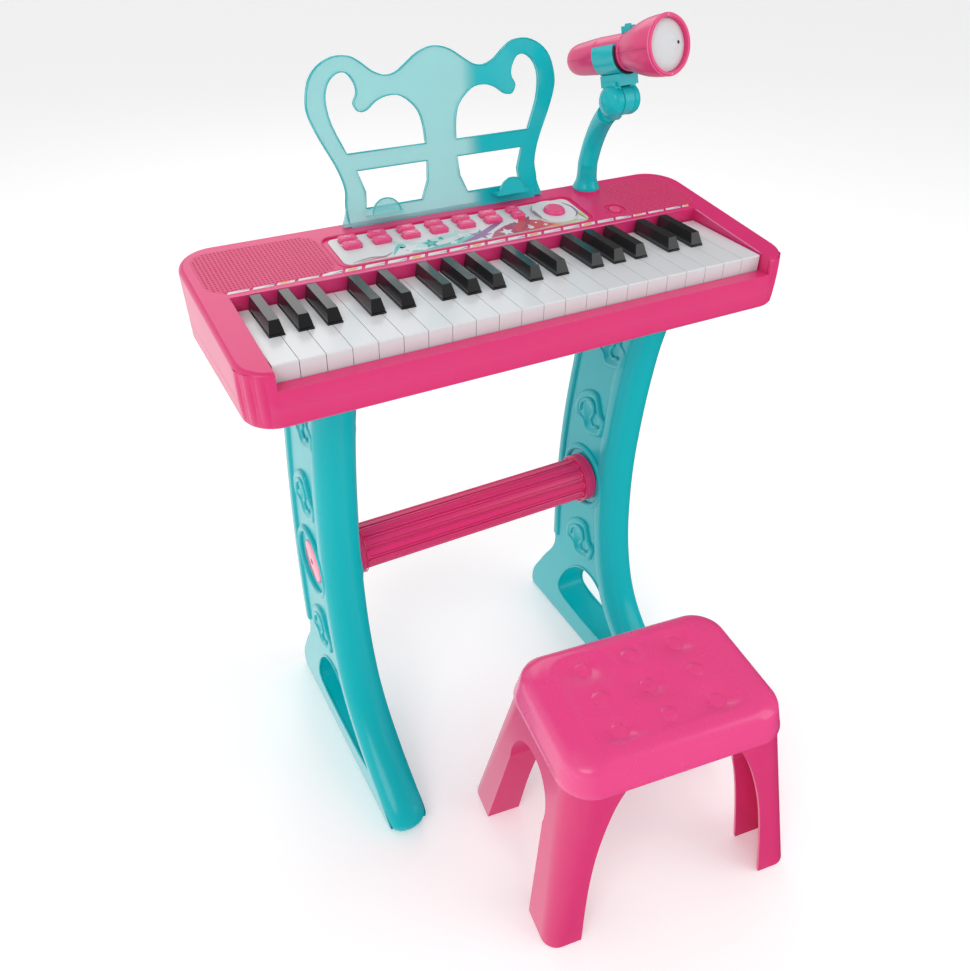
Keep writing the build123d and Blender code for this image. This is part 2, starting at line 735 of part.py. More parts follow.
leg(-1, "leg_left")
leg(1, "leg_right")

BAR_HALF = LEG_OUT - LEG_W
with BuildPart() as crossbar:
    with BuildSketch(Plane.YZ.offset(-BAR_HALF - 9)):
        with Locations((BAR_Y, BAR_Z)):
            Circle(21.1)
            Circle(17.0, mode=Mode.SUBTRACT)
    extrude(amount=2 * BAR_HALF + 18)
    with BuildSketch(Plane.YZ.offset(-BAR_HALF + 12)):
        with Locations((BAR_Y, BAR_Z)):
            with PolarLocations(21.6, 12):
                RectangleRounded(2.6, 5.6, 1.0)
    extrude(amount=2 * BAR_HALF - 24, mode=Mode.SUBTRACT)
    for side in (-1, 1):
        with BuildSketch(Plane.YZ.offset(side * (BAR_HALF - 6.1) - 4.5)):
            with Locations((BAR_Y, BAR_Z)):
                Circle(24.5)
                Circle(17.0, mode=Mode.SUBTRACT)
        extrude(amount=9)
save(crossbar, "crossbar")

with BuildPart() as crossbar_caps:
    for side in (-1, 1):
        with BuildSketch(Plane.YZ.offset(side * (LEG_OUT - 1.8) - 2.2)):
            with Locations((BAR_Y, BAR_Z)):
                Circle(21.0)
        extrude(amount=4.4)
        with BuildSketch(Plane.YZ.offset(side * (LEG_OUT - 14) - 11)):
            with Locations((BAR_Y, BAR_Z)):
                Circle(16.9)
                Circle(14.5, mode=Mode.SUBTRACT)
        extrude(amount=22)
save(crossbar_caps, "crossbar_caps")


# ---------------------------------------------------------------- stool
STOOL_SIDE = Vector(math.cos(math.radians(STOOL_YAW)), math.sin(math.radians(STOOL_YAW)), 0)
STOOL_BACK = Vector(-STOOL_SIDE.Y, STOOL_SIDE.X, 0)


def stool_plane(z):
    """Level plane at height z, squared to the stool."""
    return Plane(origin=(STOOL_X, STOOL_Y, z), x_dir=STOOL_SIDE, z_dir=(0, 0, 1))


seat_plane = stool_plane(SEAT_Z)
with BuildPart() as stool_seat:
    with BuildSketch(seat_plane):
        RectangleRounded(SEAT_W, SEAT_D, 30)
    with BuildSketch(seat_plane.offset(SEAT_H)):
        RectangleRounded(SEAT_W - 14, SEAT_D - 14, 26)
    loft(ruled=True)
    fillet(stool_seat.faces().sort_by(Axis.Z)[-1].edges(), 9)
    with BuildSketch(seat_plane):
        RectangleRounded(SEAT_W - 6, SEAT_D - 6, 27)
    with BuildSketch(seat_plane.offset(SEAT_H - 6)):
        RectangleRounded(SEAT_W - 20, SEAT_D - 20, 23)
    loft(ruled=True, mode=Mode.SUBTRACT)
    with Locations(seat_plane.offset(SEAT_H + 18)):
        with GridLocations(45, 34, 3, 3):
            Sphere(19.4, mode=Mode.SUBTRACT)
save(stool_seat, "stool_seat")


def base_sketch(z, inset):
    t = z / SEAT_Z
    width = BASE_FOOT[0] + (BASE_TOP[0] - BASE_FOOT[0]) * t - 2 * inset
    depth = BASE_FOOT[1] + (BASE_TOP[1] - BASE_FOOT[1]) * t - 2 * inset
    with BuildSketch(stool_plane(z)) as section:
        RectangleRounded(width, depth, 14 + 12 * t - inset)
    return section.sketch


def base_block(z_low, z_high, inset):
    with BuildPart() as block:
        add(base_sketch(z_low, inset))
        add(base_sketch(z_high, inset))
        loft(ruled=True)
    return block.part


def side_opening(grow):
    """Arch between a front and a back leg, wider at the floor, with a rounded crown."""
    with BuildSketch() as opening:
        with BuildLine():
            Polyline((-35 - grow, 105), (-50 - grow, -1), (50 + grow, -1), (35 + grow, 105))
            ThreePointArc((35 + grow, 105), (0, 147 + grow), (-35 - grow, 105))
        make_face()
    return opening.sketch


def front_opening():
    """Gap between the left and right legs, open right up to the seat."""
    edge = [(90, -1), (85, 55), (77.5, 100), (68, 132), (59, 153), (51, 165)]
    with BuildSketch() as opening:
        with BuildLine():
            Spline(edge)
            Line((51, 165), (-51, 165))
            Spline([(-x, z) for x, z in reversed(edge)])
            Line((-90, -1), (90, -1))
        make_face()
    return opening.sketch


base_outer = base_block(0, SEAT_Z - 0.1, 0)
base_inner = base_block(-1, SEAT_Z - 3, 2.6)
front_view = Plane(origin=(STOOL_X, STOOL_Y, 0), x_dir=STOOL_SIDE, z_dir=-STOOL_BACK)
side_view = Plane(origin=(STOOL_X, STOOL_Y, 0), x_dir=STOOL_BACK, z_dir=STOOL_SIDE)

with BuildPart() as returns:
    add(base_outer)
    with BuildSketch(side_view):
        add(side_opening(2.6))
    extrude(amount=150, both=True, mode=Mode.INTERSECT)
    with BuildSketch(side_view):
        add(side_opening(0))
    extrude(amount=150, both=True, mode=Mode.SUBTRACT)
    with BuildSketch(front_view):
        add(front_opening())
    extrude(amount=150, both=True, mode=Mode.SUBTRACT)

with BuildPart() as stool_base:
    add(base_outer)
    with BuildSketch(seat_plane.offset(-1)):
        RectangleRounded(SEAT_W - 20, SEAT_D - 20, 22)
    with BuildSketch(seat_plane.offset(SEAT_H - 6.05)):
        RectangleRounded(SEAT_W - 26, SEAT_D - 26, 20)
    loft(ruled=True)
    add(base_inner, mode=Mode.SUBTRACT)
    with BuildSketch(seat_plane.offset(-8)):
        RectangleRounded(SEAT_W - 32, SEAT_D - 32, 18)
    extrude(amount=SEAT_H - 1, mode=Mode.SUBTRACT)
    with BuildSketch(front_view):
        add(front_opening())
    extrude(amount=150, both=True, mode=Mode.SUBTRACT)
    with BuildSketch(side_view):
        add(side_opening(0))
    extrude(amount=150, both=True, mode=Mode.SUBTRACT)
    add(returns.part)
    with BuildSketch(stool_plane(SEAT_Z - 14)):
        with Locations((18, -10)):
            Rectangle(26, 18)
            Rectangle(21, 13, mode=Mode.SUBTRACT)
    extrude(amount=SEAT_H + 7)
save(stool_base, "stool_base")
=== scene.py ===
import json
import math

import bmesh
import bpy
from mathutils import Matrix, Vector
from mathutils.geometry import delaunay_2d_cdt


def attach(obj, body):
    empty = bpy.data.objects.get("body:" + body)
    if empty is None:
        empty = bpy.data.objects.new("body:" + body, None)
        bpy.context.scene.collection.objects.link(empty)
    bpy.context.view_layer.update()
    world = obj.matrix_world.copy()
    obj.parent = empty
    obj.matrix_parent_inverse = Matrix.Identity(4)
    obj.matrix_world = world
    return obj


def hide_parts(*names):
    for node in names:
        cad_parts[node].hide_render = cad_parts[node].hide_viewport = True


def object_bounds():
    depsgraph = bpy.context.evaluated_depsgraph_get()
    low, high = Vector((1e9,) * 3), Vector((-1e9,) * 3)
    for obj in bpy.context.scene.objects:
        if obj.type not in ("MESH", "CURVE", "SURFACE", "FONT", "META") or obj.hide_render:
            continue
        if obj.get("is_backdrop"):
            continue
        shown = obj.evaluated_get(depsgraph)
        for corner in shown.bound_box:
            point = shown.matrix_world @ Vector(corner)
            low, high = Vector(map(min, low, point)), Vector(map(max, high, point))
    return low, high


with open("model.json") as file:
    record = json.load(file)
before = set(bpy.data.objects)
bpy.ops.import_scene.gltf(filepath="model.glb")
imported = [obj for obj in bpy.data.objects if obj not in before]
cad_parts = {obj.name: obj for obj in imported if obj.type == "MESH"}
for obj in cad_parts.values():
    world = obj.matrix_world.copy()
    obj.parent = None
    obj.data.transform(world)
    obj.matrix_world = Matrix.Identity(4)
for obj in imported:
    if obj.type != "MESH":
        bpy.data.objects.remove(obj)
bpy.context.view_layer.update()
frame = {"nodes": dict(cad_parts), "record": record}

# Blender works in metres. Lengths below are in millimetres, and place() scales them by MM.
MM = 0.001
OY = 105.3          # the keyboard body's middle, behind the origin
TOP = 501.9         # height of the sloping top above that middle
SLOPE = math.radians(5.67)
PITCH = 18.7
KEYS_HALF = 11 * PITCH
BLACK_AFTER = (1, 2, 3, 5, 6, 8, 9, 10, 12, 13, 15, 16, 17, 19, 20)
KEY_TOP = 491.5
LEG_OUT = 165.2
LEG_W = 32.8
BAR_Y = 25.0        # the crossbar's axis
BAR_Z = 220.0
POWER = (137.5, 23.5)
PANEL = (-2.8, 37.4)
MIC_SOCKET = (135.5, 68.0)
BODY_LOW = 450.0    # underside of the keyboard body
SEAT_TOP = 196.0
SEAT_LOW = 166.0


# ------------------------------------------------------------------ materials
def node(tree, kind, **values):
    n = tree.nodes.new(kind)
    for key, value in values.items():
        if hasattr(n, key):
            setattr(n, key, value)
        else:
            n.inputs[key.replace("_", " ")].default_value = value
    return n


def plastic(name, colour, rough=0.25, coat=0.3, grain=0.02, vary=0.03, edge_highlight=0.05, spec=0.5,
            alpha=1.0, fade=None, metallic=0.0):
    """Moulded plastic: slight colour mottle, uneven gloss, fine moulded grain and a paler painted highlight
    on sharp edges.
    """
    m = bpy.data.materials.new(name)
    m.use_nodes = True
    t = m.node_tree
    t.nodes.clear()
    out = t.nodes.new("ShaderNodeOutputMaterial")
    bsdf = t.nodes.new("ShaderNodeBsdfPrincipled")
    t.links.new(bsdf.outputs[0], out.inputs[0])
    coord = t.nodes.new("ShaderNodeTexCoord")
    mottle = node(t, "ShaderNodeTexNoise", Scale=14.0, Detail=3.0)
    t.links.new(coord.outputs["Object"], mottle.inputs["Vector"])
    base = t.nodes.new("ShaderNodeMix")
    base.data_type = "RGBA"
    base.inputs["A"].default_value = (*[c * (1 - vary) for c in colour], 1)
    base.inputs["B"].default_value = (*[min(1, c * (1 + vary)) for c in colour], 1)
    t.links.new(mottle.outputs["Fac"], base.inputs["Factor"])
    colour_out = base.outputs["Result"]
    if fade:
        axis, low, high, other = fade
        split = t.nodes.new("ShaderNodeSeparateXYZ")
        t.links.new(coord.outputs["Object"], split.inputs[0])
        ramp = t.nodes.new("ShaderNodeMapRange")
        ramp.interpolation_type = "SMOOTHSTEP"
        ramp.inputs["From Min"].default_value = low
        ramp.inputs["From Max"].default_value = high
        t.links.new(split.outputs[axis], ramp.inputs["Value"])
        blend = t.nodes.new("ShaderNodeMix")
        blend.data_type = "RGBA"
        blend.inputs["B"].default_value = (*other, 1)
        t.links.new(ramp.outputs[0], blend.inputs["Factor"])
        t.links.new(colour_out, blend.inputs["A"])
        colour_out = blend.outputs["Result"]
    # painted edge highlight: where pointiness marks a sharp edge, the colour is mixed towards a paler tint
    geometry = t.nodes.new("ShaderNodeNewGeometry")
    edge = t.nodes.new("ShaderNodeMapRange")
    edge.inputs["From Min"].default_value = 0.52
    edge.inputs["From Max"].default_value = 0.62
    edge.inputs["To Max"].default_value = edge_highlight
    t.links.new(geometry.outputs["Pointiness"], edge.inputs["Value"])
    edge_highlight_mix = t.nodes.new("ShaderNodeMix")
    edge_highlight_mix.data_type = "RGBA"
    edge_highlight_mix.inputs["B"].default_value = (*[min(1, c * 0.6 + 0.4) for c in colour], 1)
    t.links.new(edge.outputs[0], edge_highlight_mix.inputs["Factor"])
    t.links.new(colour_out, edge_highlight_mix.inputs["A"])
    t.links.new(edge_highlight_mix.outputs["Result"], bsdf.inputs["Base Color"])
    gloss = node(t, "ShaderNodeTexNoise", Scale=26.0, Detail=3.0)
    t.links.new(coord.outputs["Object"], gloss.inputs["Vector"])
    spread = t.nodes.new("ShaderNodeMapRange")
    spread.inputs["To Min"].default_value = rough * 0.93
    spread.inputs["To Max"].default_value = min(1.0, rough * 1.09)
    t.links.new(gloss.outputs["Fac"], spread.inputs["Value"])
    t.links.new(spread.outputs[0], bsdf.inputs["Roughness"])
    fine = node(t, "ShaderNodeTexNoise", Scale=900.0, Detail=2.0)
    t.links.new(coord.outputs["Object"], fine.inputs["Vector"])
    bump = t.nodes.new("ShaderNodeBump")
    bump.inputs["Strength"].default_value = grain
    bump.inputs["Distance"].default_value = 0.0006
    t.links.new(fine.outputs["Fac"], bump.inputs["Height"])
    t.links.new(bump.outputs[0], bsdf.inputs["Normal"])
    bsdf.inputs["Coat Weight"].default_value = coat
    bsdf.inputs["Coat Roughness"].default_value = 0.08
    bsdf.inputs["Metallic"].default_value = metallic
    bsdf.inputs["Specular IOR Level"].default_value = spec
    bsdf.inputs["Alpha"].default_value = alpha
    if fade and alpha < 1:
        solid = t.nodes.new("ShaderNodeMapRange")
        solid.inputs["To Min"].default_value = alpha
        solid.inputs["To Max"].default_value = 0.97
        t.links.new(ramp.outputs[0], solid.inputs["Value"])
        t.links.new(solid.outputs[0], bsdf.inputs["Alpha"])
    return m


PINK = plastic("pink", (0.76, 0.034, 0.185), rough=0.30, coat=0.12, grain=0.01, spec=0.4)
PINK_TOP = plastic("pink_top", (0.72, 0.036, 0.17), rough=0.40, coat=0.05, grain=0.01, spec=0.4)
# dark pink: painted shade in the grille dimples and the power button's dish, and the mic's side seams
PINK_SHADE_AND_SEAM = plastic("pink_shade_and_seam", (0.52, 0.012, 0.075), rough=0.45, coat=0.1)
# pale pink for painted highlight lines along bright edges
PINK_HIGHLIGHT = plastic("pink_painted_highlight", (0.90, 0.16, 0.36), rough=0.24, coat=0.5)
PINK_SEAT = plastic("pink_seat", (0.91, 0.070, 0.275), rough=0.27, coat=0.25, grain=0.01)
PINK_GLOSS = plastic("pink_gloss", (0.80, 0.045, 0.20), rough=0.22, coat=0.6, grain=0.02)
TEAL = plastic("teal", (0.0, 0.50, 0.545), rough=0.25, coat=0.08, grain=0.006, spec=0.32)
CLEAR_EDGE = plastic("clear_edge", (0.0, 0.52, 0.56), rough=0.15, coat=0.6)
RUBBER = plastic("rubber", (0.008, 0.008, 0.02), rough=0.45, coat=0.1)
MARK = plastic("mark", (0.90, 0.38, 0.52), rough=0.4, coat=0.1)
PRINT_WHITE = plastic("print_white", (0.74, 0.74, 0.77), rough=0.4, coat=0.1, vary=0.02)
PRINT_ROSE = plastic("print_rose", (0.55, 0.10, 0.22), rough=0.4, coat=0.1)
PRINT_GREY = plastic("print_grey", (0.24, 0.33, 0.37), rough=0.4, coat=0.1)
PRINT_GOLD = plastic("print_gold", (0.80, 0.42, 0.08), rough=0.4, coat=0.1)
PRINT_TEAL = plastic("print_teal", (0.14, 0.52, 0.50), rough=0.38, coat=0.2)
PRINT_TEAL_DARK = plastic("print_teal_dark", (0.03, 0.34, 0.34), rough=0.38, coat=0.2)
PRINT_PURPLE = plastic("print_purple", (0.27, 0.13, 0.32), rough=0.38, coat=0.2)
PRINT_MAROON = plastic("print_maroon", (0.42, 0.05, 0.13), rough=0.38, coat=0.2)
PRINT_RED = plastic("print_red", (0.62, 0.06, 0.08), rough=0.38, coat=0.2)
PRINT_ORANGE = plastic("print_orange", (0.75, 0.30, 0.10), rough=0.38, coat=0.2)
PRINT_LIME = plastic("print_lime", (0.42, 0.62, 0.08), rough=0.38, coat=0.2)
PRINT_OLIVE = plastic("print_olive", (0.22, 0.30, 0.06), rough=0.38, coat=0.2)
PRINT_GREY_LINE = plastic("print_grey_line", (0.28, 0.22, 0.26), rough=0.38, coat=0.2)
PRINT_PALE = plastic("print_pale", (0.45, 0.68, 0.68), rough=0.38, coat=0.2)
CLEAR_TEAL = plastic("clear_teal", (0.24, 0.74, 0.75), rough=0.16, coat=0.2, vary=0.05, alpha=0.55,
                     fade=("X", 0.020, 0.038, (0.0, 0.55, 0.61)))
# the white keys get a strong painted edge highlight, the black keys a faint one
WHITE = plastic("key_white", (0.72, 0.73, 0.75), rough=0.26, coat=0.2, vary=0.015, edge_highlight=0.2)
BLACK = plastic("key_black", (0.005, 0.005, 0.006), rough=0.20, coat=0.12, vary=0.1, edge_highlight=0.04)
LABEL = plastic("label", (0.70, 0.71, 0.73), rough=0.42, coat=0.1, vary=0.01)
BUTTON = plastic("button", (0.84, 0.07, 0.24), rough=0.36, coat=0.2, grain=0.05)
DIFFUSER = plastic("diffuser", (0.66, 0.67, 0.69), rough=0.5, coat=0.1, grain=0.06)
BOARD = plastic("board", (0.03, 0.22, 0.07), rough=0.4, coat=0.3, grain=0.1)
SPEAKER = plastic("speaker", (0.02, 0.02, 0.022), rough=0.6, coat=0.0, grain=0.1)
STEEL = plastic("steel", (0.55, 0.55, 0.57), rough=0.3, coat=0.0, metallic=1.0)

SLOT_MATERIAL = {
    "pink": PINK, "teal": TEAL, "clear_teal": CLEAR_TEAL, "white_keys": WHITE, "black_keys": BLACK,
    "panel": LABEL, "buttons": BUTTON, "diffuser": DIFFUSER, "board": BOARD, "speaker": SPEAKER,
    "screws": STEEL,
}
slots = {s["node"]: s["material_slot"] for s in frame["record"]["subparts"]}


def soften(o, width, segments=3, angle=30.0):
    b = o.modifiers.new("bevel", "BEVEL")
    b.width = width * MM
    b.segments = segments
    b.limit_method = "ANGLE"
    b.angle_limit = math.radians(angle)
    b.harden_normals = False


for name, cad in frame["nodes"].items():
    cad.data.materials.clear()
    cad.data.materials.append(SLOT_MATERIAL[slots[name]])
    if name.startswith("white_key"):
        soften(cad, 0.45)
    elif name.startswith("black_key"):
        soften(cad, 0.5)


# ------------------------------------------------------------------ shapes
def place(p):
    return Vector((p[0], p[1] + OY, p[2])) * MM


def top(x, s, h=0.0):
    """Point of the sloping top: x along the keys, s up the slope, h above it."""
    back = s * math.cos(SLOPE) - h * math.sin(SLOPE)
    height = TOP + s * math.sin(SLOPE) + h * math.cos(SLOPE)
    return Vector((x, back, height))


def piece(name, parts, materials, body, angle=35.0):
    """One mesh from parts, each (vertices, faces, material index), that rides on a CAD body."""
    verts, faces, indexes = [], [], []
    for part_verts, part_faces, index in parts:
        start = len(verts)
        verts += [place(v) for v in part_verts]
        faces += [tuple(start + i for i in face) for face in part_faces]
        indexes += [index] * len(part_faces)
    mesh = bpy.data.meshes.new(name)
    mesh.from_pydata(verts, [], faces)
    for material in materials:
        mesh.materials.append(material)
    mesh.polygons.foreach_set("material_index", indexes)
    work = bmesh.new()
    work.from_mesh(mesh)
    bmesh.ops.remove_doubles(work, verts=work.verts, dist=1e-7)
    bmesh.ops.recalc_face_normals(work, faces=work.faces)
    work.to_mesh(mesh)
    work.free()
    o = bpy.data.objects.new(name, mesh)
    bpy.context.scene.collection.objects.link(o)
    for p in mesh.polygons:
        p.use_smooth = True
    mesh.set_sharp_from_angle(angle=math.radians(angle))
    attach(o, body)
    return o


def slab(outline, low, high, at, index=0):
    """Flat shape with straight walls; at(x, y, h) puts its points in space."""
    n = len(outline)
    verts = [at(x, y, low) for x, y in outline] + [at(x, y, high) for x, y in outline]
    faces = [tuple(range(n, 2 * n)), tuple(reversed(range(n)))]
    faces += [(i, (i + 1) % n, n + (i + 1) % n, n + i) for i in range(n)]
    return verts, faces, index


def loft(rings, index=0, closed=True, caps=True):
    """Skin over rings that have the same number of points."""
    n = len(rings[0])
    verts = [p for ring in rings for p in ring]
    faces = []
    for r in range(len(rings) - 1):
        for i in range(n if closed else n - 1):
            j = (i + 1) % n
            faces.append((r * n + i, r * n + j, (r + 1) * n + j, (r + 1) * n + i))
    if caps:
        faces += [tuple(reversed(range(n))), tuple(range((len(rings) - 1) * n, len(rings) * n))]
    return verts, faces, index


def tube(path, radius, index=0, sides=8, closed=False):
    """Round bead along a path, with closed or softly tapered ends."""
    path = [Vector(p) for p in path]
    n = len(path)
    rings = []
    normal = None
    for i, p in enumerate(path):
        ahead = path[(i + 1) % n] if closed or i < n - 1 else p
        behind = path[i - 1] if closed or i > 0 else p
        along = (ahead - behind).normalized()
        if normal is None:
            normal = along.orthogonal().normalized()
        normal = (normal - along * normal.dot(along)).normalized()
        across = along.cross(normal)
        r = radius
        if not closed and i in (0, n - 1):
            r = radius * 0.35
        rings.append([p + (normal * math.cos(a) + across * math.sin(a)) * r
                      for a in (2 * math.pi * k / sides for k in range(sides))])
    if closed:
        rings.append(rings[0])
    return loft(rings, index, caps=not closed)


def lathe(profile, origin, axis, index=0, sides=48):
    """Turned shape: profile of (distance along the axis, radius)."""
    axis = Vector(axis).normalized()
    u = axis.orthogonal().normalized()
    v = axis.cross(u)
    rings = []
    for t, r in profile:
        centre = Vector(origin) + axis * t
        rings.append([centre + (u * math.cos(a) + v * math.sin(a)) * r
                      for a in (2 * math.pi * k / sides for k in range(sides))])
    return loft(rings, index)


def curve(points, steps=8, closed=False):
    """Smooth run through points (Catmull-Rom)."""
    pts = [Vector(p) for p in points]
    n = len(pts)
    out = []
    for i in range(n if closed else n - 1):
        p0 = pts[i - 1] if closed or i > 0 else pts[0]
        p1, p2 = pts[i], pts[(i + 1) % n]
        p3 = pts[(i + 2) % n] if closed or i < n - 2 else pts[-1]
        for k in range(steps):
            t = k / steps
            out.append(0.5 * ((2 * p1) + (p2 - p0) * t + (2 * p0 - 5 * p1 + 4 * p2 - p3) * t * t
                              + (3 * p1 - p0 - 3 * p2 + p3) * t ** 3))
    if not closed:
        out.append(pts[-1])
    return out


def rounded(cx, cy, width, depth, r, steps=6):
    points = []
    for sx, sy, start in ((1, 1, 0), (-1, 1, 90), (-1, -1, 180), (1, -1, 270)):
        ox, oy = cx + sx * (width / 2 - r), cy + sy * (depth / 2 - r)
        for k in range(steps + 1):
            a = math.radians(start + 90 * k / steps)
            points.append((ox + r * math.cos(a), oy + r * math.sin(a)))
    return points


def circle(cx, cy, r, steps=24):
    return [(cx + r * math.cos(2 * math.pi * k / steps), cy + r * math.sin(2 * math.pi * k / steps))
            for k in range(steps)]


def star(cx, cy, r, turn=90.0, waist=0.45):
    points = []
    for k in range(10):
        reach = r if k % 2 == 0 else r * waist
        a = math.radians(turn + 36 * k)
        points.append((cx + reach * math.cos(a), cy + reach * math.sin(a)))
    return points


def ribbon(points, width, steps=6):
    """Flat band that narrows to a point at both ends."""
    mid = curve([(x, y, 0) for x, y in points], steps)
    n = len(mid)
    left, right = [], []
    for i, p in enumerate(mid):
        along = (mid[min(i + 1, n - 1)] - mid[max(i - 1, 0)]).normalized()
        side = Vector((-along.y, along.x, 0)) * width / 2 * max(0.06, math.sin(math.pi * i / (n - 1))) ** 0.7
        left.append(((p + side).x, (p + side).y))
        right.append(((p - side).x, (p - side).y))
    return left + right[::-1]


# ------------------------------------------------------------------ body details
def grille(name, cx, cs, width, depth, corner, skip, holes):
    """Field of small round dimples moulded into the top; their walls and floors are painted dark pink as
    shade.
    """
    outline = rounded(cx, cs, width - 0.1, depth - 0.1, corner, 8)
    pitch, sides = 3.05, 8
    centres = []
    for j in range(int((depth - 4) / pitch) + 1):
        for i in range(int((width - 4) / pitch) + 1):
            x = cx + (i - int((width - 4) / pitch) / 2) * pitch
            s = cs + (j - int((depth - 4) / pitch) / 2) * pitch
            dx = max(0.0, abs(x - cx) - (width / 2 - corner))
            ds = max(0.0, abs(s - cs) - (depth / 2 - corner))
            if math.hypot(dx, ds) < corner - 1.8 and not skip(x, s):
                centres.append((x, s))
    loops = [outline] + [circle(*h, 24) for h in holes] + [circle(x, s, DIMPLE, sides) for x, s in centres]
    flat, edges = [], []
    for loop in loops:
        start = len(flat)
        flat += [Vector(p) for p in loop]
        edges += [(start + i, start + (i + 1) % len(loop)) for i in range(len(loop))]
    found, _, triangles, _, _, _ = delaunay_2d_cdt(flat, edges, [], 0, 1e-6)
    cells = {(round((x - cx) / pitch * 2), round((s - cs) / pitch * 2)): (x, s) for x, s in centres}

    def open_there(p):
        key = (round((p[0] - cx) / pitch * 2), round((p[1] - cs) / pitch * 2))
        for dx in (-1, 0, 1):
            for ds in (-1, 0, 1):
                c = cells.get((key[0] + dx, key[1] + ds))
                if c and math.hypot(p[0] - c[0], p[1] - c[1]) < DIMPLE * 0.93:
                    return True
        return any(math.hypot(p[0] - h[0], p[1] - h[1]) < h[2] * 0.99 for h in holes)

    sheet = []
    for tri in triangles:
        middle = sum((found[i] for i in tri), Vector((0, 0))) / 3
        if not open_there(middle):
            sheet.append(tuple(tri))
    parts = [([top(p.x, p.y, 0.03) for p in found], sheet, 0)]
    dips, dip_faces, floors = [], [], []
    for x, s in centres:
        start = len(dips)
        dips += [top(px, ps, 0.03) for px, ps in circle(x, s, DIMPLE, sides)]
        dips += [top(px, ps, -0.42) for px, ps in circle(x, s, DIMPLE * 0.62, sides)]
        dip_faces += [(start + i, start + (i + 1) % sides, start + sides + (i + 1) % sides, start + sides + i)
                      for i in range(sides)]
        floors.append(tuple(range(start + sides, start + 2 * sides)))
    # dimple walls and floors: painted shade in the dark pink
    parts.append((dips, dip_faces, 1))
    parts.append((dips, floors, 1))
    skirt = loft([[top(x, s, 0.03) for x, s in outline], [top(x, s, -0.6) for x, s in outline]], caps=False)
    parts.append(skirt)
    piece(name, parts, [PINK_TOP, PINK_SHADE_AND_SEAM], "stand", 50)


DIMPLE = 0.78
grille("grille_left", -170, 40, 100, 62, 14, lambda x, s: False, [])
grille("grille_right", 172, 40, 92, 62, 14,
       lambda x, s: x < 148 - max(0, s - 40) * 0.12 or math.dist((x, s), POWER) < 12.5
       or math.dist((x, s), MIC_SOCKET) < 13.5, [(*POWER, 9.9)])


def body_loop(z, out, steps=8):
    """Body outline at height z, moved outwards by out."""
    t = (z - BODY_LOW) / 50
    half, back, front = 228 + 1.6 * t + out, 80.5 + 1.8 * t + out, -101.5 + 1.1 * t - out
    points = []
    for sx, y, r, start in ((1, back, 31, 0), (-1, back, 31, 90), (-1, front, 24, 180), (1, front, 24, 270)):
        r += out
        ox, oy = sx * (half - r), y - r if y > 0 else y + r
        for k in range(steps + 1):
            a = math.radians(start + 90 * k / steps)
            points.append((ox + r * math.cos(a), oy + r * math.sin(a), z))
    return points


trim = [tube(body_loop(466.0, -0.16, 10), 0.26, 2, 6, closed=True)]
# painted highlight: pale pink beads along the front top edge and along the top edge of each cheek
trim.append(tube([top(-206.6, 1.4, -0.35), top(0, 1.4, -0.35), top(206.6, 1.4, -0.35)], 1.0, 0, 10))
for sign in (-1, 1):
    cheek = sign * 207.2
    trim.append(tube(curve([(cheek, 3, 501.3), (cheek, -50, 496.0), (cheek, -88, 492.3)], 6), 0.8, 0, 8))
panel_edge = [top(x, s, -0.1) for x, s in rounded(*PANEL, 231, 51, 9, 8)]
trim.append(tube(panel_edge, 0.75, 2, 8, closed=True))
# dark ring down in the power button's dish: painted shadow in the recess
trim.append(tube([top(x, s, -2.2) for x, s in circle(*POWER, 6.7, 32)], 0.9, 1, 8, closed=True))
trim.append(tube([top(x, s, 0.0) for x, s in circle(*POWER, 10.0, 40)], 0.55, 2, 8, closed=True))
piece("body_trim", trim, [PINK_HIGHLIGHT, PINK_SHADE_AND_SEAM, PINK_TOP], "stand", 60)

# soft flutes round the front corners
flutes = []
for sign in (-1, 1):
    for k, degrees in enumerate((14, 37, 60)):
        rings = []
        for z in (453, 458, 466, 474, 482, 488, 491):
            t = (z - BODY_LOW) / 50
            half, front = 228 + 1.6 * t, -101.5 + 1.1 * t
            swell = 1.5 * math.sin(math.pi * min(1.0, (z - 452) / 42)) ** 0.5
            ring = []
            for step in range(7):
                a = math.radians(180 + degrees + (step - 3) * 3.1)
                r = 24 - 0.25 + swell * math.cos((step - 3) / 3 * math.pi / 2)
                x = -(half - 24) + r * math.cos(a)
                ring.append((x * -sign, front + 24 + r * math.sin(a), z))
            rings.append(ring)
        flutes.append(loft(rings, 0, closed=False, caps=False))
piece("corner_flutes", flutes, [PINK], "stand", 80)

# ------------------------------------------------------------------ printed strip and panel
strip = []
period = 52.6
for k in range(8):
    x = -207.0 + k * period
    shapes = (
        (1, 0, 18.2, 0, 1), (2, 6.0, 18.0, 0.30, 0.62), (1, 18.6, 36.4, 0, 1), (3, 26.5, 35.8, 0.12, 0.72),
        (1, 36.6, 51.9, 0, 1), (4, 39.0, 48.6, 0.15, 0.85),
    )
    for index, a, b, low, high in shapes:
        a, b = x + a, min(x + b, 206.6)
        if a > 203:
            continue
        s0, s1 = 6.4 + 4.0 * low, 6.4 + 4.0 * high
        lift = -0.05 if index == 1 else 0.0
        outline = [(a, s0), (b - 2.2, s0), (b, s1), (a + 2.2, s1)]
        if index in (2, 3):
            outline = [(a, s0), (b, s0 + (s1 - s0) * 0.3), (b - 1.0, s1)]
        strip.append(slab(outline, -0.42, lift, top, index - 1))
piece("strip_print", strip, [PRINT_WHITE, PRINT_ROSE, PRINT_GREY, PRINT_GOLD], "stand")

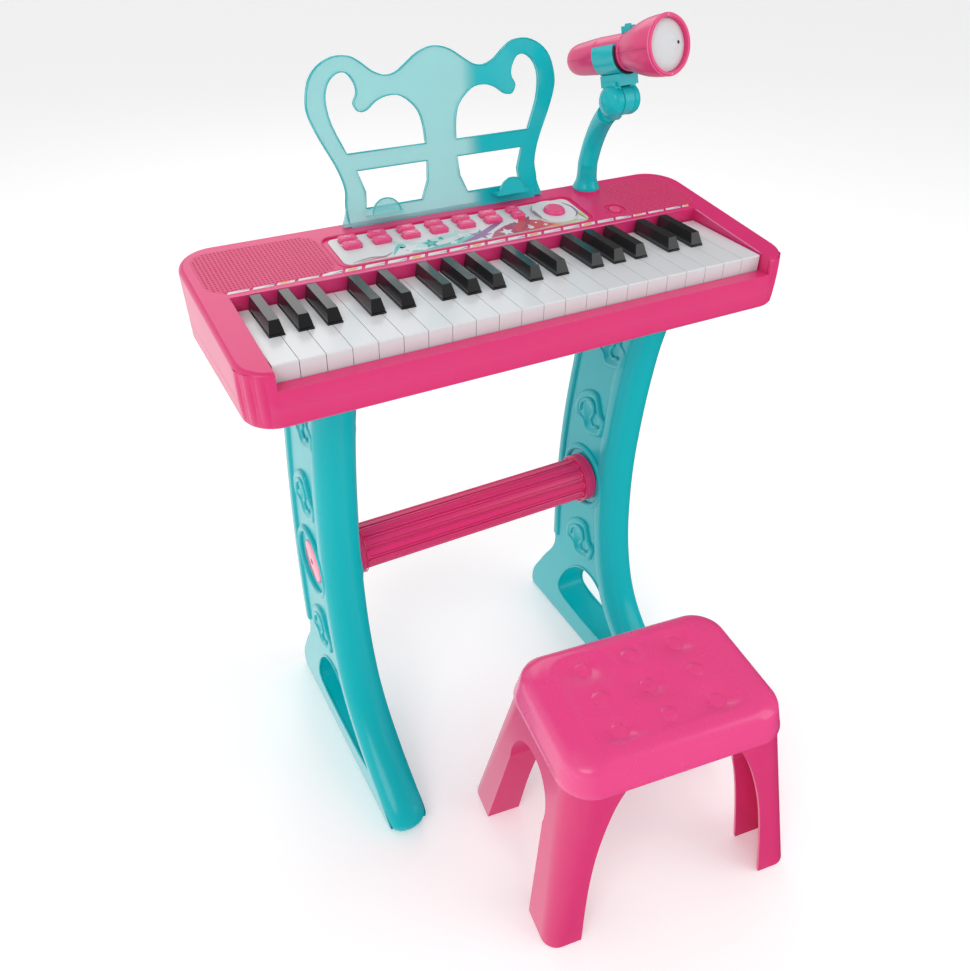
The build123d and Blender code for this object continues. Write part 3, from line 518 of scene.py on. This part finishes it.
TEAL_I, TEAL_DARK, PURPLE_I, MAROON_I, RED_I, ORANGE_I, LIME_I, OLIVE_I, WHITE_I, GREY_I, PALE_I = range(11)
art = [
    (PALE_I, ribbon([(-71, 41), (-60, 33), (-47, 26), (-30, 29), (-8, 34)], 9), 1),
    (TEAL_I, ribbon([(-73, 18), (-62, 31), (-57, 21), (-48, 14), (-30, 17), (-5, 27)], 6.5), 2),
    (PALE_I, star(-9, 29, 11.5, 96), 2),
    (TEAL_I, ribbon([(-52, 14.8), (-35, 17.5), (-12, 20), (10, 31)], 5), 3),
    (WHITE_I, star(-56, 23.5, 8.6, 100), 4),
    (TEAL_DARK, star(-38, 25, 7.6, 84), 4),
    (TEAL_I, star(-38, 25, 3.4, 84), 5),
    (WHITE_I, star(-20, 20.5, 4.6, 75), 4),
    (WHITE_I, star(-9, 29, 4.8, 96), 4),
    (TEAL_DARK, star(-27, 30, 3.2, 70), 5),
    (PURPLE_I, star(6, 23, 10.5, 70, 0.34), 6),
    (PURPLE_I, ribbon([(-14, 17), (2, 22), (22, 33), (36, 41)], 5.5), 5),
    (MAROON_I, [(12, 15.6), (58, 15.6), (62, 20), (56, 30), (44, 34), (32, 31), (20, 25)], 5),
    (RED_I, [(38, 17), (74, 16.2), (78, 22), (68, 28), (57, 34), (51, 43), (47, 34), (38, 28)], 6),
    (MAROON_I, ribbon([(40, 17), (52, 27), (56, 35), (60, 39)], 4), 7), (WHITE_I, star(29, 20.8, 6.6, 92), 7),
    (PURPLE_I, star(41, 31, 4.2, 60, 0.4), 7), (WHITE_I, circle(52, 21, 2.6), 7),
    (WHITE_I, [(50.2, 22.4), (53.8, 22.4), (52, 27.5)], 7),
    (WHITE_I, circle(45, 33, 1.2), 7),
    (WHITE_I, circle(60, 27, 1.1), 7),
    (WHITE_I, star(66, 21, 2.6, 90), 7),
    (ORANGE_I, ribbon([(58, 15.4), (74, 17.4), (90, 19.6), (102, 16.8)], 3.0), 7),
    (LIME_I, ribbon([(100, 56), (103.6, 44), (105.2, 28), (105.4, 16)], 2.6), 6),
    (OLIVE_I, ribbon([(97, 50), (101.6, 38), (103.6, 26), (105.4, 17)], 1.6), 7),
    (LIME_I, ribbon([(70, 15.3), (84, 16.6), (96, 18.6), (106, 15.6)], 2.2), 8),
    (GREY_I, ribbon([(70.5, 52.4), (65.6, 44), (65.4, 33), (70, 23.6)], 1.5), 9),
    (GREY_I, ribbon([(67.6, 30), (66.6, 37.4), (67.6, 45)], 3.0), 9),
    (PURPLE_I, ribbon([(98.4, 50), (102.6, 40), (101.6, 29), (96, 22)], 2.0), 9),
    (GREY_I, ribbon([(-107, 17.4), (-92, 20.4), (-80, 18.6), (-72, 22.6)], 2.2), 2),
    (RED_I, ribbon([(-103, 16.6), (-90, 17.6), (-78, 17.2)], 1.6), 3),
]
prints = []
for index, outline, layer in art:
    outline = [(x, min(max(s, 16.1), 58.6)) for x, s in outline]
    first_x = outline[0][0]
    on_dial = (index == GREY_I and first_x > 60) or (index == PURPLE_I and first_x > 90)
    shift = 1.22 if on_dial else -0.38
    prints.append(slab(outline, shift - 0.1, shift + 0.012 * layer, top, index))
PANEL_INKS = [
    PRINT_TEAL, PRINT_TEAL_DARK, PRINT_PURPLE, PRINT_MAROON, PRINT_RED, PRINT_ORANGE, PRINT_LIME, PRINT_OLIVE,
    LABEL, PRINT_GREY_LINE, PRINT_PALE,
]
piece("panel_print", prints, PANEL_INKS, "stand")

for row, y, lift in (("rear_button_row", 53.2, 3.2), ("front_button_row", 42.6, 3.2)):
    marks = []
    for k in range(7):
        x = -97.5 + 25 * k - (1 if k == 6 else 0)
        wide = 3.4 if k != 6 else 2.2
        marks.append(slab(ribbon([(x - wide, y - 0.3), (x - wide * 0.3, y + 0.9), (x + wide * 0.4, y - 0.5),
                                  (x + wide, y + 0.7)], 1.3, 4), lift - 0.3, lift + 0.12, top, 0))
        marks.append(tube([top(px, ps, lift - 1.28) for px, ps in
                           rounded(x, y, 14.75 - (4 if k == 6 else 0), 8.55 if y > 50 else 9.55, 2.6, 4)],
                          0.28, 1, 6, closed=True))
    piece(row + "_marks", marks, [MARK, PINK_GLOSS], row)

# ------------------------------------------------------------------ keys
# rings of the black keys' stepped foot: half width, front, back, height above the white keys
KEY_FOOT = ((5.5, -49.7, -20, -0.4), (5.75, -50.35, -18, 0.5), (5.7, -50.2, -18, 1.3), (5.2, -49.2, -20, 1.9))
for k, after in enumerate(BLACK_AFTER):
    shift = 0.0
    if after + 1 in BLACK_AFTER and after - 1 not in BLACK_AFTER:
        shift = -2.4
    if after - 1 in BLACK_AFTER and after + 1 not in BLACK_AFTER:
        shift = 2.4
    x = -KEYS_HALF + after * PITCH + shift
    z = KEY_TOP
    rings = []
    for half, front, back, lift in KEY_FOOT:
        rings.append([(x - half, front, z + lift), (x + half, front, z + lift),
                      (x + half, back, z + lift), (x - half, back, z + lift)])
    lip = loft(rings)
    name = f"black_key_{k + 1:02d}"
    foot = piece(name + "_foot", [lip], [BLACK], name, 25)
    soften(foot, 0.2, 2)

# ------------------------------------------------------------------ music rest
REST_LEAN = math.radians(9.4)
REST_FOOT = Vector((-1.0, 72.5, TOP + 72.5 * math.tan(SLOPE)))


def on_rest(x, y, h=0.0):
    up = Vector((0, math.sin(REST_LEAN), math.cos(REST_LEAN)))
    front = Vector((0, -math.cos(REST_LEAN), math.sin(REST_LEAN)))
    return REST_FOOT + Vector((x, 0, 0)) + up * y + front * h


HALF_OUTLINE = [
    (86.5, 2), (87.5, 15.5), (86, 28), (88.5, 40), (93, 51.5), (101.5, 69), (107.5, 84.5), (108.5, 95.5),
    (104.5, 110), (96, 119.5), (83.5, 125), (71, 124.5), (62, 119.5), (53, 112.5), (43.5, 109), (34, 110),
    (24.5, 115.5), (13.5, 122.5), (0, 126),
]
HALF_WINDOW = [
    (13.5, 55.5), (14, 68), (17, 80), (24, 88.5), (33, 94), (43.5, 94.5), (53, 91.5), (61, 86),
    (67.5, 85.5), (71, 91.5), (67.5, 98.5), (68.5, 106), (74, 113.5), (82.5, 113.5), (90, 107), (93.5, 95.5),
    (91, 78), (81.5, 55.5),
]
OPENING = [(13.5, 42.5), (14.5, 27), (21, 12.5), (71, 12.5), (70, 25.5), (75, 42.5)]
beads = []
rim_path = [(x, y) for x, y in HALF_OUTLINE] + [(-x, y) for x, y in HALF_OUTLINE[-2::-1]]
for h in (1.45, -1.45):
    beads.append(tube(curve([on_rest(x, y, h) for x, y in rim_path], 3), 0.5, 0, 6))
    for sign in (-1, 1):
        window = [v for v in curve([(sign * x, y, 0) for x, y in HALF_WINDOW], 3)]
        beads.append(tube([on_rest(p.x, p.y, h) for p in window], 0.42, 0, 6, closed=True))
        beads.append(tube([on_rest(sign * x, y, h) for x, y in OPENING], 0.42, 0, 6, closed=True))
for sign in (-1, 1):
    arc = [(sign * 58 + 12.1 * math.cos(math.radians(a)), 8.8 + 12.1 * math.sin(math.radians(a)))
           for a in range(0, 181, 12)]
    beads.append(tube([on_rest(x, y, 13.0) for x, y in arc], 0.5, 0, 6))
piece("music_rest_edges", beads, [CLEAR_EDGE], "music_rest", 60)

# ------------------------------------------------------------------ microphone
YAW, TILT = math.radians(7.5), math.radians(15.9)
AHEAD = Vector((math.sin(YAW), -math.cos(YAW), 0))
ACROSS = Vector((math.cos(YAW), math.sin(YAW), 0))
MIC_FOOT = Vector((135.5, 67.5, TOP + 67.5 * math.tan(SLOPE) + 1.2))
MIC_DIR = AHEAD * math.cos(TILT) + Vector((0, 0, math.sin(TILT)))
MIC_UP = Vector((0, 0, math.cos(TILT))) - AHEAD * math.sin(TILT)
PIVOT = MIC_FOOT + AHEAD * 34.0 + Vector((0, 0, 81.9))
TAIL = PIVOT - MIC_DIR * 52.7 + MIC_UP * 34.8


def on_mic(t, across, up):
    return TAIL + MIC_DIR * t + ACROSS * across + MIC_UP * up


foot_profile = [(0.2, 11.7), (1.2, 11.9), (2.6, 11.5), (4, 10.9), (6, 9.9), (9, 9.1), (13, 8.75), (18, 8.64)]
piece("mic_arm_foot", [lathe(foot_profile, MIC_FOOT, (0, 0, 1))], [TEAL], "mic_arm", 40)

MIC_SIDE = [(0.5, 8.4), (1.7, 9.8), (5, 11.5), (13, 12.7), (24, 13.4), (36, 14.05), (52, 14.05), (68, 14.05),
            (75, 15.9), (83, 18.5), (93, 20.9), (103, 21.9), (110, 22.05)]
barrel = [
    (0.2, 6.3), (0.4, 8.2), (1.2, 9.4), (2, 10.1), (3.2, 10.8), (5, 11.5), (8, 12.2), (13, 12.7), (24, 13.4),
    (36, 14.06), (39.5, 14.06), (40.4, 13.7),
]
# an even taper over the rear of the barrel, as far as the clip
piece("mic_barrel_cover", [lathe(barrel, TAIL, MIC_DIR, 0, 72)], [PINK], "microphone", 50)
mic_parts = []
for sign in (-1, 1):
    seam = curve([on_mic(t, sign * r, 0) for t, r in MIC_SIDE], 4)
    mic_parts.append(tube(seam, 0.32, 0, 6))
# the two rims and the notches are pale pink as painted highlight lines
for t, r, thick in ((110.8, 21.7, 0.55), (68.8, 14.3, 0.35)):
    mic_parts.append(tube([on_mic(t, r * math.cos(a), r * math.sin(a)) for a in
                           (2 * math.pi * k / 64 for k in range(64))], thick, 1, 8, closed=True))
for up in (-1, 1):
    notch = [on_mic(t, -0.9, up * r) for t, r in ((112.0, 19.9), (112.8, 19.9), (112.8, 21.0), (112.0, 21.4))]
    other = [p + ACROSS * 1.8 for p in notch]
    mic_parts.append(loft([notch, other], 1))
piece("mic_body_trim", mic_parts, [PINK_SHADE_AND_SEAM, PINK_HIGHLIGHT], "microphone", 50)
dot_profile = [(110.2, 1.3), (110.9, 1.2), (111.1, 0.7), (111.12, 0.1)]
dot = lathe(dot_profile, TAIL + ACROSS * 10.4 + MIC_UP * 0.8, MIC_DIR, 0, 20)
pad_profile = [(110.6, 3.5), (111.4, 3.3), (111.65, 2.6), (111.7, 0.2)]
pad = lathe(pad_profile, TAIL + ACROSS * 5.4 - MIC_UP * 0.4, MIC_DIR, 1, 32)
piece("mic_lens_trim", [dot, pad], [BLACK, DIFFUSER], "microphone", 40)

clip_parts = []
edge = [on_mic(65.8, 15.3 * math.cos(a), 15.3 * math.sin(a))
        for a in (math.radians(-202 + 224 * k / 40) for k in range(41))]
clip_parts.append(tube(edge, 1.15, 1, 8))
rear = [on_mic(40.9, 15.3 * math.cos(a), 15.3 * math.sin(a))
        for a in (math.radians(-202 + 224 * k / 40) for k in range(41))]
clip_parts.append(tube(rear, 1.1, 0, 8))
dome = [(9.8, 12.0), (11.2, 12.2), (13.2, 11.4), (15.2, 9.4), (16.6, 6.4), (17.3, 3.2), (17.5, 0.4)]
clip_parts.append(lathe(dome, PIVOT, -ACROSS, 0, 48))
disc = [(10.6, 11.3), (11.7, 11.2), (12.2, 10.4), (12.2, 8.6), (11.7, 8.0), (11.8, 0.4)]
clip_parts.append(lathe(disc, PIVOT, ACROSS, 0, 48))
piece("mic_clip_trim", clip_parts, [TEAL, RUBBER], "mic_clip", 45)

# ------------------------------------------------------------------ legs and crossbar
FRONT_EDGE = [
    (-50, 449.8), (-37, 405), (-30, 375), (-22, 320), (-17, 255), (-18, 205), (-23, 160), (-33, 122),
    (-46, 95), (-65, 73), (-93, 50), (-117, 35), (-131, 25), (-137.4, 17.5), (-138.6, 12), (-136.5, 5.5),
    (-130, 1.2),
]
REAR_RIM = [(40, 446), (48, 400), (57, 348), (66, 290), (71, 235), (73, 175), (70.5, 112)]
TEARDROP = [
    (-80, 36), (-70, 50), (-50, 68), (-31, 90), (-14, 101), (4, 103), (22, 96), (42, 76), (54, 52), (55, 38),
    (44, 31), (15, 28.5), (-25, 28.5), (-62, 30.5),
]
SWIRL = [
    (-20, 11), (-6, 24), (9, 27), (15, 17), (19, 9), (27, 4), (25, -7), (22, -14), (10, -19), (-3, -21),
    (-8, -13), (-15, -10), (-24, -8),
]
SWIRL_SPINE = [(-15, -3), (-13, 8), (-3, 16), (6, 15), (8, 5), (4, -3), (9, -9), (17, -6)]
for side, body_name in ((-1, "leg_left"), (1, "leg_right")):
    centre = side * (LEG_OUT - LEG_W / 2)
    path = curve([(0, y, z) for y, z in FRONT_EDGE], 5)
    rings = []
    for i, p in enumerate(path):
        ahead, behind = path[min(i + 1, len(path) - 1)], path[max(i - 1, 0)]
        along = (ahead - behind).normalized()
        inward = Vector((0, -along.z, along.y))
        if inward.y < 0 and p.z > 60:
            inward = -inward
        ring = []
        back = 19.0 if p.z > 60 else max(9.0, 19.0 - (60 - p.z) * 0.2)
        nose = 1.0 if p.z > 26 or i < len(path) * 0.6 else 1.0 - 0.16 * (1 - max(p.z, 0) / 26) ** 2
        for x, y in [(16.3, back + 1.2), (17.4, back), (18.3, back - 2.2), (18.6, back - 5.5)]:
            ring.append(Vector((centre + x * nose, p.y, p.z)) + inward * y)
        for k in range(21):
            a = math.pi * k / 20
            depth = 9.2 - 11.0 * math.sin(a) ** 0.9
            ring.append(Vector((centre + 18.6 * nose * math.cos(a), p.y, p.z)) + inward * depth)
        for x, y in [(18.6, back - 5.5), (18.3, back - 2.2), (17.4, back), (16.3, back + 1.2)]:
            ring.append(Vector((centre - x * nose, p.y, p.z)) + inward * y)
        rings.append(ring)
    column = loft(rings, 0, closed=False, caps=False)
    details = [column]
    for face in (centre - LEG_W / 2, centre + LEG_W / 2):
        out = 1 if face > centre else -1
        for height, y in ((137, 22), (297, 24), (384, 3)):
            outline = curve([(a, b, 0) for a, b in SWIRL], 4, closed=True)
            middle = sum(outline, Vector()) / len(outline)
            steps = []
            for shrink, lift in ((1.04, 0), (1.03, 1.8), (0.97, 2.8), (0.88, 3.1), (0.80, 2.9), (0.74, 1.7)):
                steps.append([(face + out * lift, y - (middle.x + (p.x - middle.x) * shrink),
                               height + middle.y + (p.y - middle.y) * shrink) for p in outline])
            details.append(loft(steps))
            spine = curve([(face + out * 1.7, y - a, height + b) for a, b in SWIRL_SPINE], 5)
            details.append(tube(spine, 2.1, 0, 10))
        rim = curve([(face, y, z) for y, z in REAR_RIM], 6)
        band = []
        for p in rim:
            band.append([p + Vector((out * lift, -depth, 0)) for lift, depth in
                         ((-0.2, -0.15), (1.6, -0.15), (2.4, 0.8), (2.4, 6.2), (1.8, 7.4), (-0.2, 8.4))])
        details.append(loft(band, closed=False, caps=False))
        ring_path = [(face + out * 0.4, BAR_Y + 32.5 * math.cos(a), BAR_Z + 32.5 * math.sin(a))
                     for a in (2 * math.pi * k / 72 for k in range(72))]
        details.append(tube(ring_path, 3.1, 0, 12, closed=True))
        loop = curve([Vector((face, y, z)) for y, z in TEARDROP], 4, closed=True)
        details.append(tube(loop, 1.3, 0, 8, closed=True))
    piece(body_name + "_relief", details, [TEAL], "stand", 50)

bar = []
for side in (-1, 1):
    cap = side * (LEG_OUT + 0.4)
    centre = Vector((cap, BAR_Y, BAR_Z))
    cap_profile = [(0, 20.6), (0.5, 20.3), (0.9, 19.2), (1.0, 3.2), (0.2, 2.6), (0.1, 0.3)]
    bar.append(lathe(cap_profile, centre, (side, 0, 0), 0))
    for offset, r in ((-12.0, 24.3), (-2.4, 24.3)):
        x = side * (LEG_OUT - LEG_W + offset)
        loop = [(x, BAR_Y + y, BAR_Z + z) for y, z in circle(0, 0, r, 56)]
        bar.append(tube(loop, 0.5, 0, 6, closed=True))
half = LEG_OUT - LEG_W
for k in range(12):
    mid = math.radians(15 + 30 * k)
    path = []
    for start_x, direction in ((half - 17, 1), (-half + 17, -1)):
        for step in range(9):
            a = math.radians(-90 + 22.5 * step) * direction
            path.append((start_x + direction * 4.4 * math.cos(a), a))
    loop = []
    for x, a in path:
        around = mid + 0.185 * math.sin(a)
        loop.append((x, BAR_Y + 21.2 * math.cos(around), BAR_Z + 21.2 * math.sin(around)))
    bar.append(tube(loop, 0.7, 0, 8, closed=True))
piece("crossbar_trim", bar, [PINK_GLOSS], "stand", 45)

# ------------------------------------------------------------------ stool seat
STOOL_YAW = math.radians(-7)
STOOL_SIDE = Vector((math.cos(STOOL_YAW), math.sin(STOOL_YAW), 0))
STOOL_BACK = Vector((-STOOL_SIDE.y, STOOL_SIDE.x, 0))


def on_stool(x, y, z):
    return Vector((39.0, -222.0, z)) + STOOL_SIDE * x + STOOL_BACK * y


def seat_point(u, v, width, depth, r):
    """Point of a rounded rectangle from a square's coordinates, each from -1 to 1."""
    m = max(abs(u), abs(v))
    if m == 0:
        return 0.0, 0.0
    px, py = u / m * width / 2, v / m * depth / 2
    qx = max(-(width / 2 - r), min(width / 2 - r, px))
    qy = max(-(depth / 2 - r), min(depth / 2 - r, py))
    dx, dy = px - qx, py - qy
    d = math.hypot(dx, dy)
    return (qx + dx / d * r) * m, (qy + dy / d * r) * m


def seat_height(x, y, m):
    border = (1 - m) * 63
    z = SEAT_TOP - 6.5 * max(0.0, 1 - border / 11.0) ** 2.2
    z += 1.1 * math.exp(-((border - 15) / 4.5) ** 2)
    quilting = math.cos(math.pi * (x / 45 + 1)) * math.cos(math.pi * y / 34)
    z += 1.5 * quilting * min(1.0, max(0.0, border - 12) / 14)
    for i in (-1, 0, 1):
        for j in (-1, 0, 1):
            d = math.hypot(x - 45 * i, y - 34 * j)
            if d < 22:
                z -= 2.8 * math.exp(-(d / 9.5) ** 2)
            if d < 8.0:
                z += 3.3 * (1 - (d / 8.0) ** 2) ** 0.7 - 0.7
            if i == 0 and j == 0 and d < 2.2:
                z -= 0.7
    return z


nu, nv = 168, 120
grid = []
for j in range(nv + 1):
    for i in range(nu + 1):
        u, v = -1 + 2 * i / nu, -1 + 2 * j / nv
        x, y = seat_point(u, v, 194.5, 128.5, 26)
        grid.append(on_stool(x, y, seat_height(x, y, max(abs(u), abs(v)))))
faces = [(j * (nu + 1) + i, j * (nu + 1) + i + 1, (j + 1) * (nu + 1) + i + 1, (j + 1) * (nu + 1) + i)
         for j in range(nv) for i in range(nu)]
seat = [(grid, faces, 0)]


def seat_ring(width, depth, r, z):
    border = [(-1 + 2 * i / nu, -1) for i in range(nu)] + [(1, -1 + 2 * j / nv) for j in range(nv)]
    border += [(1 - 2 * i / nu, 1) for i in range(nu)] + [(-1, 1 - 2 * j / nv) for j in range(nv)]
    return [on_stool(*seat_point(u, v, width, depth, r), z) for u, v in border]


skirt = [
    seat_ring(194.5, 128.5, 26, 189.5),
    seat_ring(196.6, 130.6, 27, 187.0),
    seat_ring(199.0, 133.0, 28, 182.0),
    seat_ring(202.6, 136.6, 29, 173.5),
    seat_ring(205.6, 139.6, 30, 167.2),
    seat_ring(205.2, 139.2, 30, SEAT_LOW + 0.1),
    seat_ring(201.0, 135.0, 27.6, SEAT_LOW),
    seat_ring(187.0, 121.0, 23.6, 190.15),
]
seat.append(loft(skirt, 0, caps=False))
seat.append((skirt[-1], [tuple(range(len(skirt[-1])))], 0))
cover = piece("stool_seat_shell", seat, [PINK_SEAT], "stool", 40)
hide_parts("stool_seat")

# ------------------------------------------------------------------ stage
def stage_setup():
    floor_material = bpy.data.materials.new("floor")
    floor_material.use_nodes = True
    paint = floor_material.node_tree.nodes["Principled BSDF"].inputs
    paint["Base Color"].default_value = (0.96, 0.96, 0.96, 1)
    paint["Emission Color"].default_value = (1, 1, 1, 1)
    paint["Emission Strength"].default_value = 0.19
    paint["Roughness"].default_value = 0.8
    bpy.ops.mesh.primitive_plane_add(size=40, location=(0, 0, -0.0005))
    floor = bpy.context.object
    floor.name = "floor"
    floor.data.materials.append(floor_material)
    floor.visible_glossy = False
    floor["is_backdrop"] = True
    world = bpy.data.worlds.new("studio")
    bpy.context.scene.world = world
    world.use_nodes = True
    tree = world.node_tree
    rays = tree.nodes.new("ShaderNodeLightPath")
    glow = tree.nodes["Background"]
    glow.inputs[0].default_value = (1, 1, 1, 1)
    to_gloss = tree.nodes.new("ShaderNodeMix")
    to_gloss.inputs["A"].default_value = 0.72
    heading = tree.nodes.new("ShaderNodeTexCoord")
    toward = tree.nodes.new("ShaderNodeVectorMath")
    toward.operation = "DOT_PRODUCT"
    toward.inputs[1].default_value = (-0.81, 0.50, -0.30)
    tree.links.new(heading.outputs["Generated"], toward.inputs[0])
    softbox = tree.nodes.new("ShaderNodeMapRange")
    softbox.inputs["From Min"].default_value = -0.25
    softbox.inputs["From Max"].default_value = 0.9
    softbox.inputs["To Min"].default_value = 0.02
    softbox.inputs["To Max"].default_value = 1.5
    tree.links.new(toward.outputs["Value"], softbox.inputs["Value"])
    tree.links.new(softbox.outputs[0], to_gloss.inputs["B"])
    tree.links.new(rays.outputs["Is Glossy Ray"], to_gloss.inputs["Factor"])
    to_eye = tree.nodes.new("ShaderNodeMix")
    to_eye.inputs["B"].default_value = 1.0
    tree.links.new(rays.outputs["Is Camera Ray"], to_eye.inputs["Factor"])
    tree.links.new(to_gloss.outputs["Result"], to_eye.inputs["A"])
    tree.links.new(to_eye.outputs["Result"], glow.inputs[1])
    for name, spot, size, power in (
        ("key", (-1.3, -1.1, 1.9), 1.0, 10),
        ("fill", (1.5, -1.3, 1.3), 1.4, 9),
        ("rim", (0.4, 1.6, 1.6), 1.2, 6),
    ):
        data = bpy.data.lights.new(name, "AREA")
        data.energy = power
        data.size = size
        lamp = bpy.data.objects.new(name, data)
        lamp.location = spot
        aim = Vector((0, 0, 0.35)) - Vector(spot)
        lamp.rotation_euler = aim.to_track_quat("-Z", "Y").to_euler()
        bpy.context.scene.collection.objects.link(lamp)
        lamp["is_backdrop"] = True
    azimuth, lift, roll = math.radians(28.54), math.radians(36.53), math.radians(0.89)
    level = Vector((math.sin(azimuth), math.cos(azimuth), 0))
    forward = level * math.cos(lift) - Vector((0, 0, math.sin(lift)))
    right = Vector((math.cos(azimuth), -math.sin(azimuth), 0))
    up = right.cross(forward)
    turn = Matrix.Rotation(-roll, 3, forward)
    right, up = turn @ right, turn @ up
    data = bpy.data.cameras.new("camera")
    data.lens = 34.13
    data.sensor_width = 36.0
    camera = bpy.data.objects.new("camera", data)
    rotation = Matrix((right, up, -forward)).transposed().to_4x4()
    camera.matrix_world = Matrix.Translation(Vector((-0.3331, -0.6139 + OY * MM, 0.7855))) @ rotation
    bpy.context.scene.collection.objects.link(camera)
    bpy.context.scene.camera = camera
    scene = bpy.context.scene
    scene.view_settings.view_transform = "Standard"


stage_setup()

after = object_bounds()
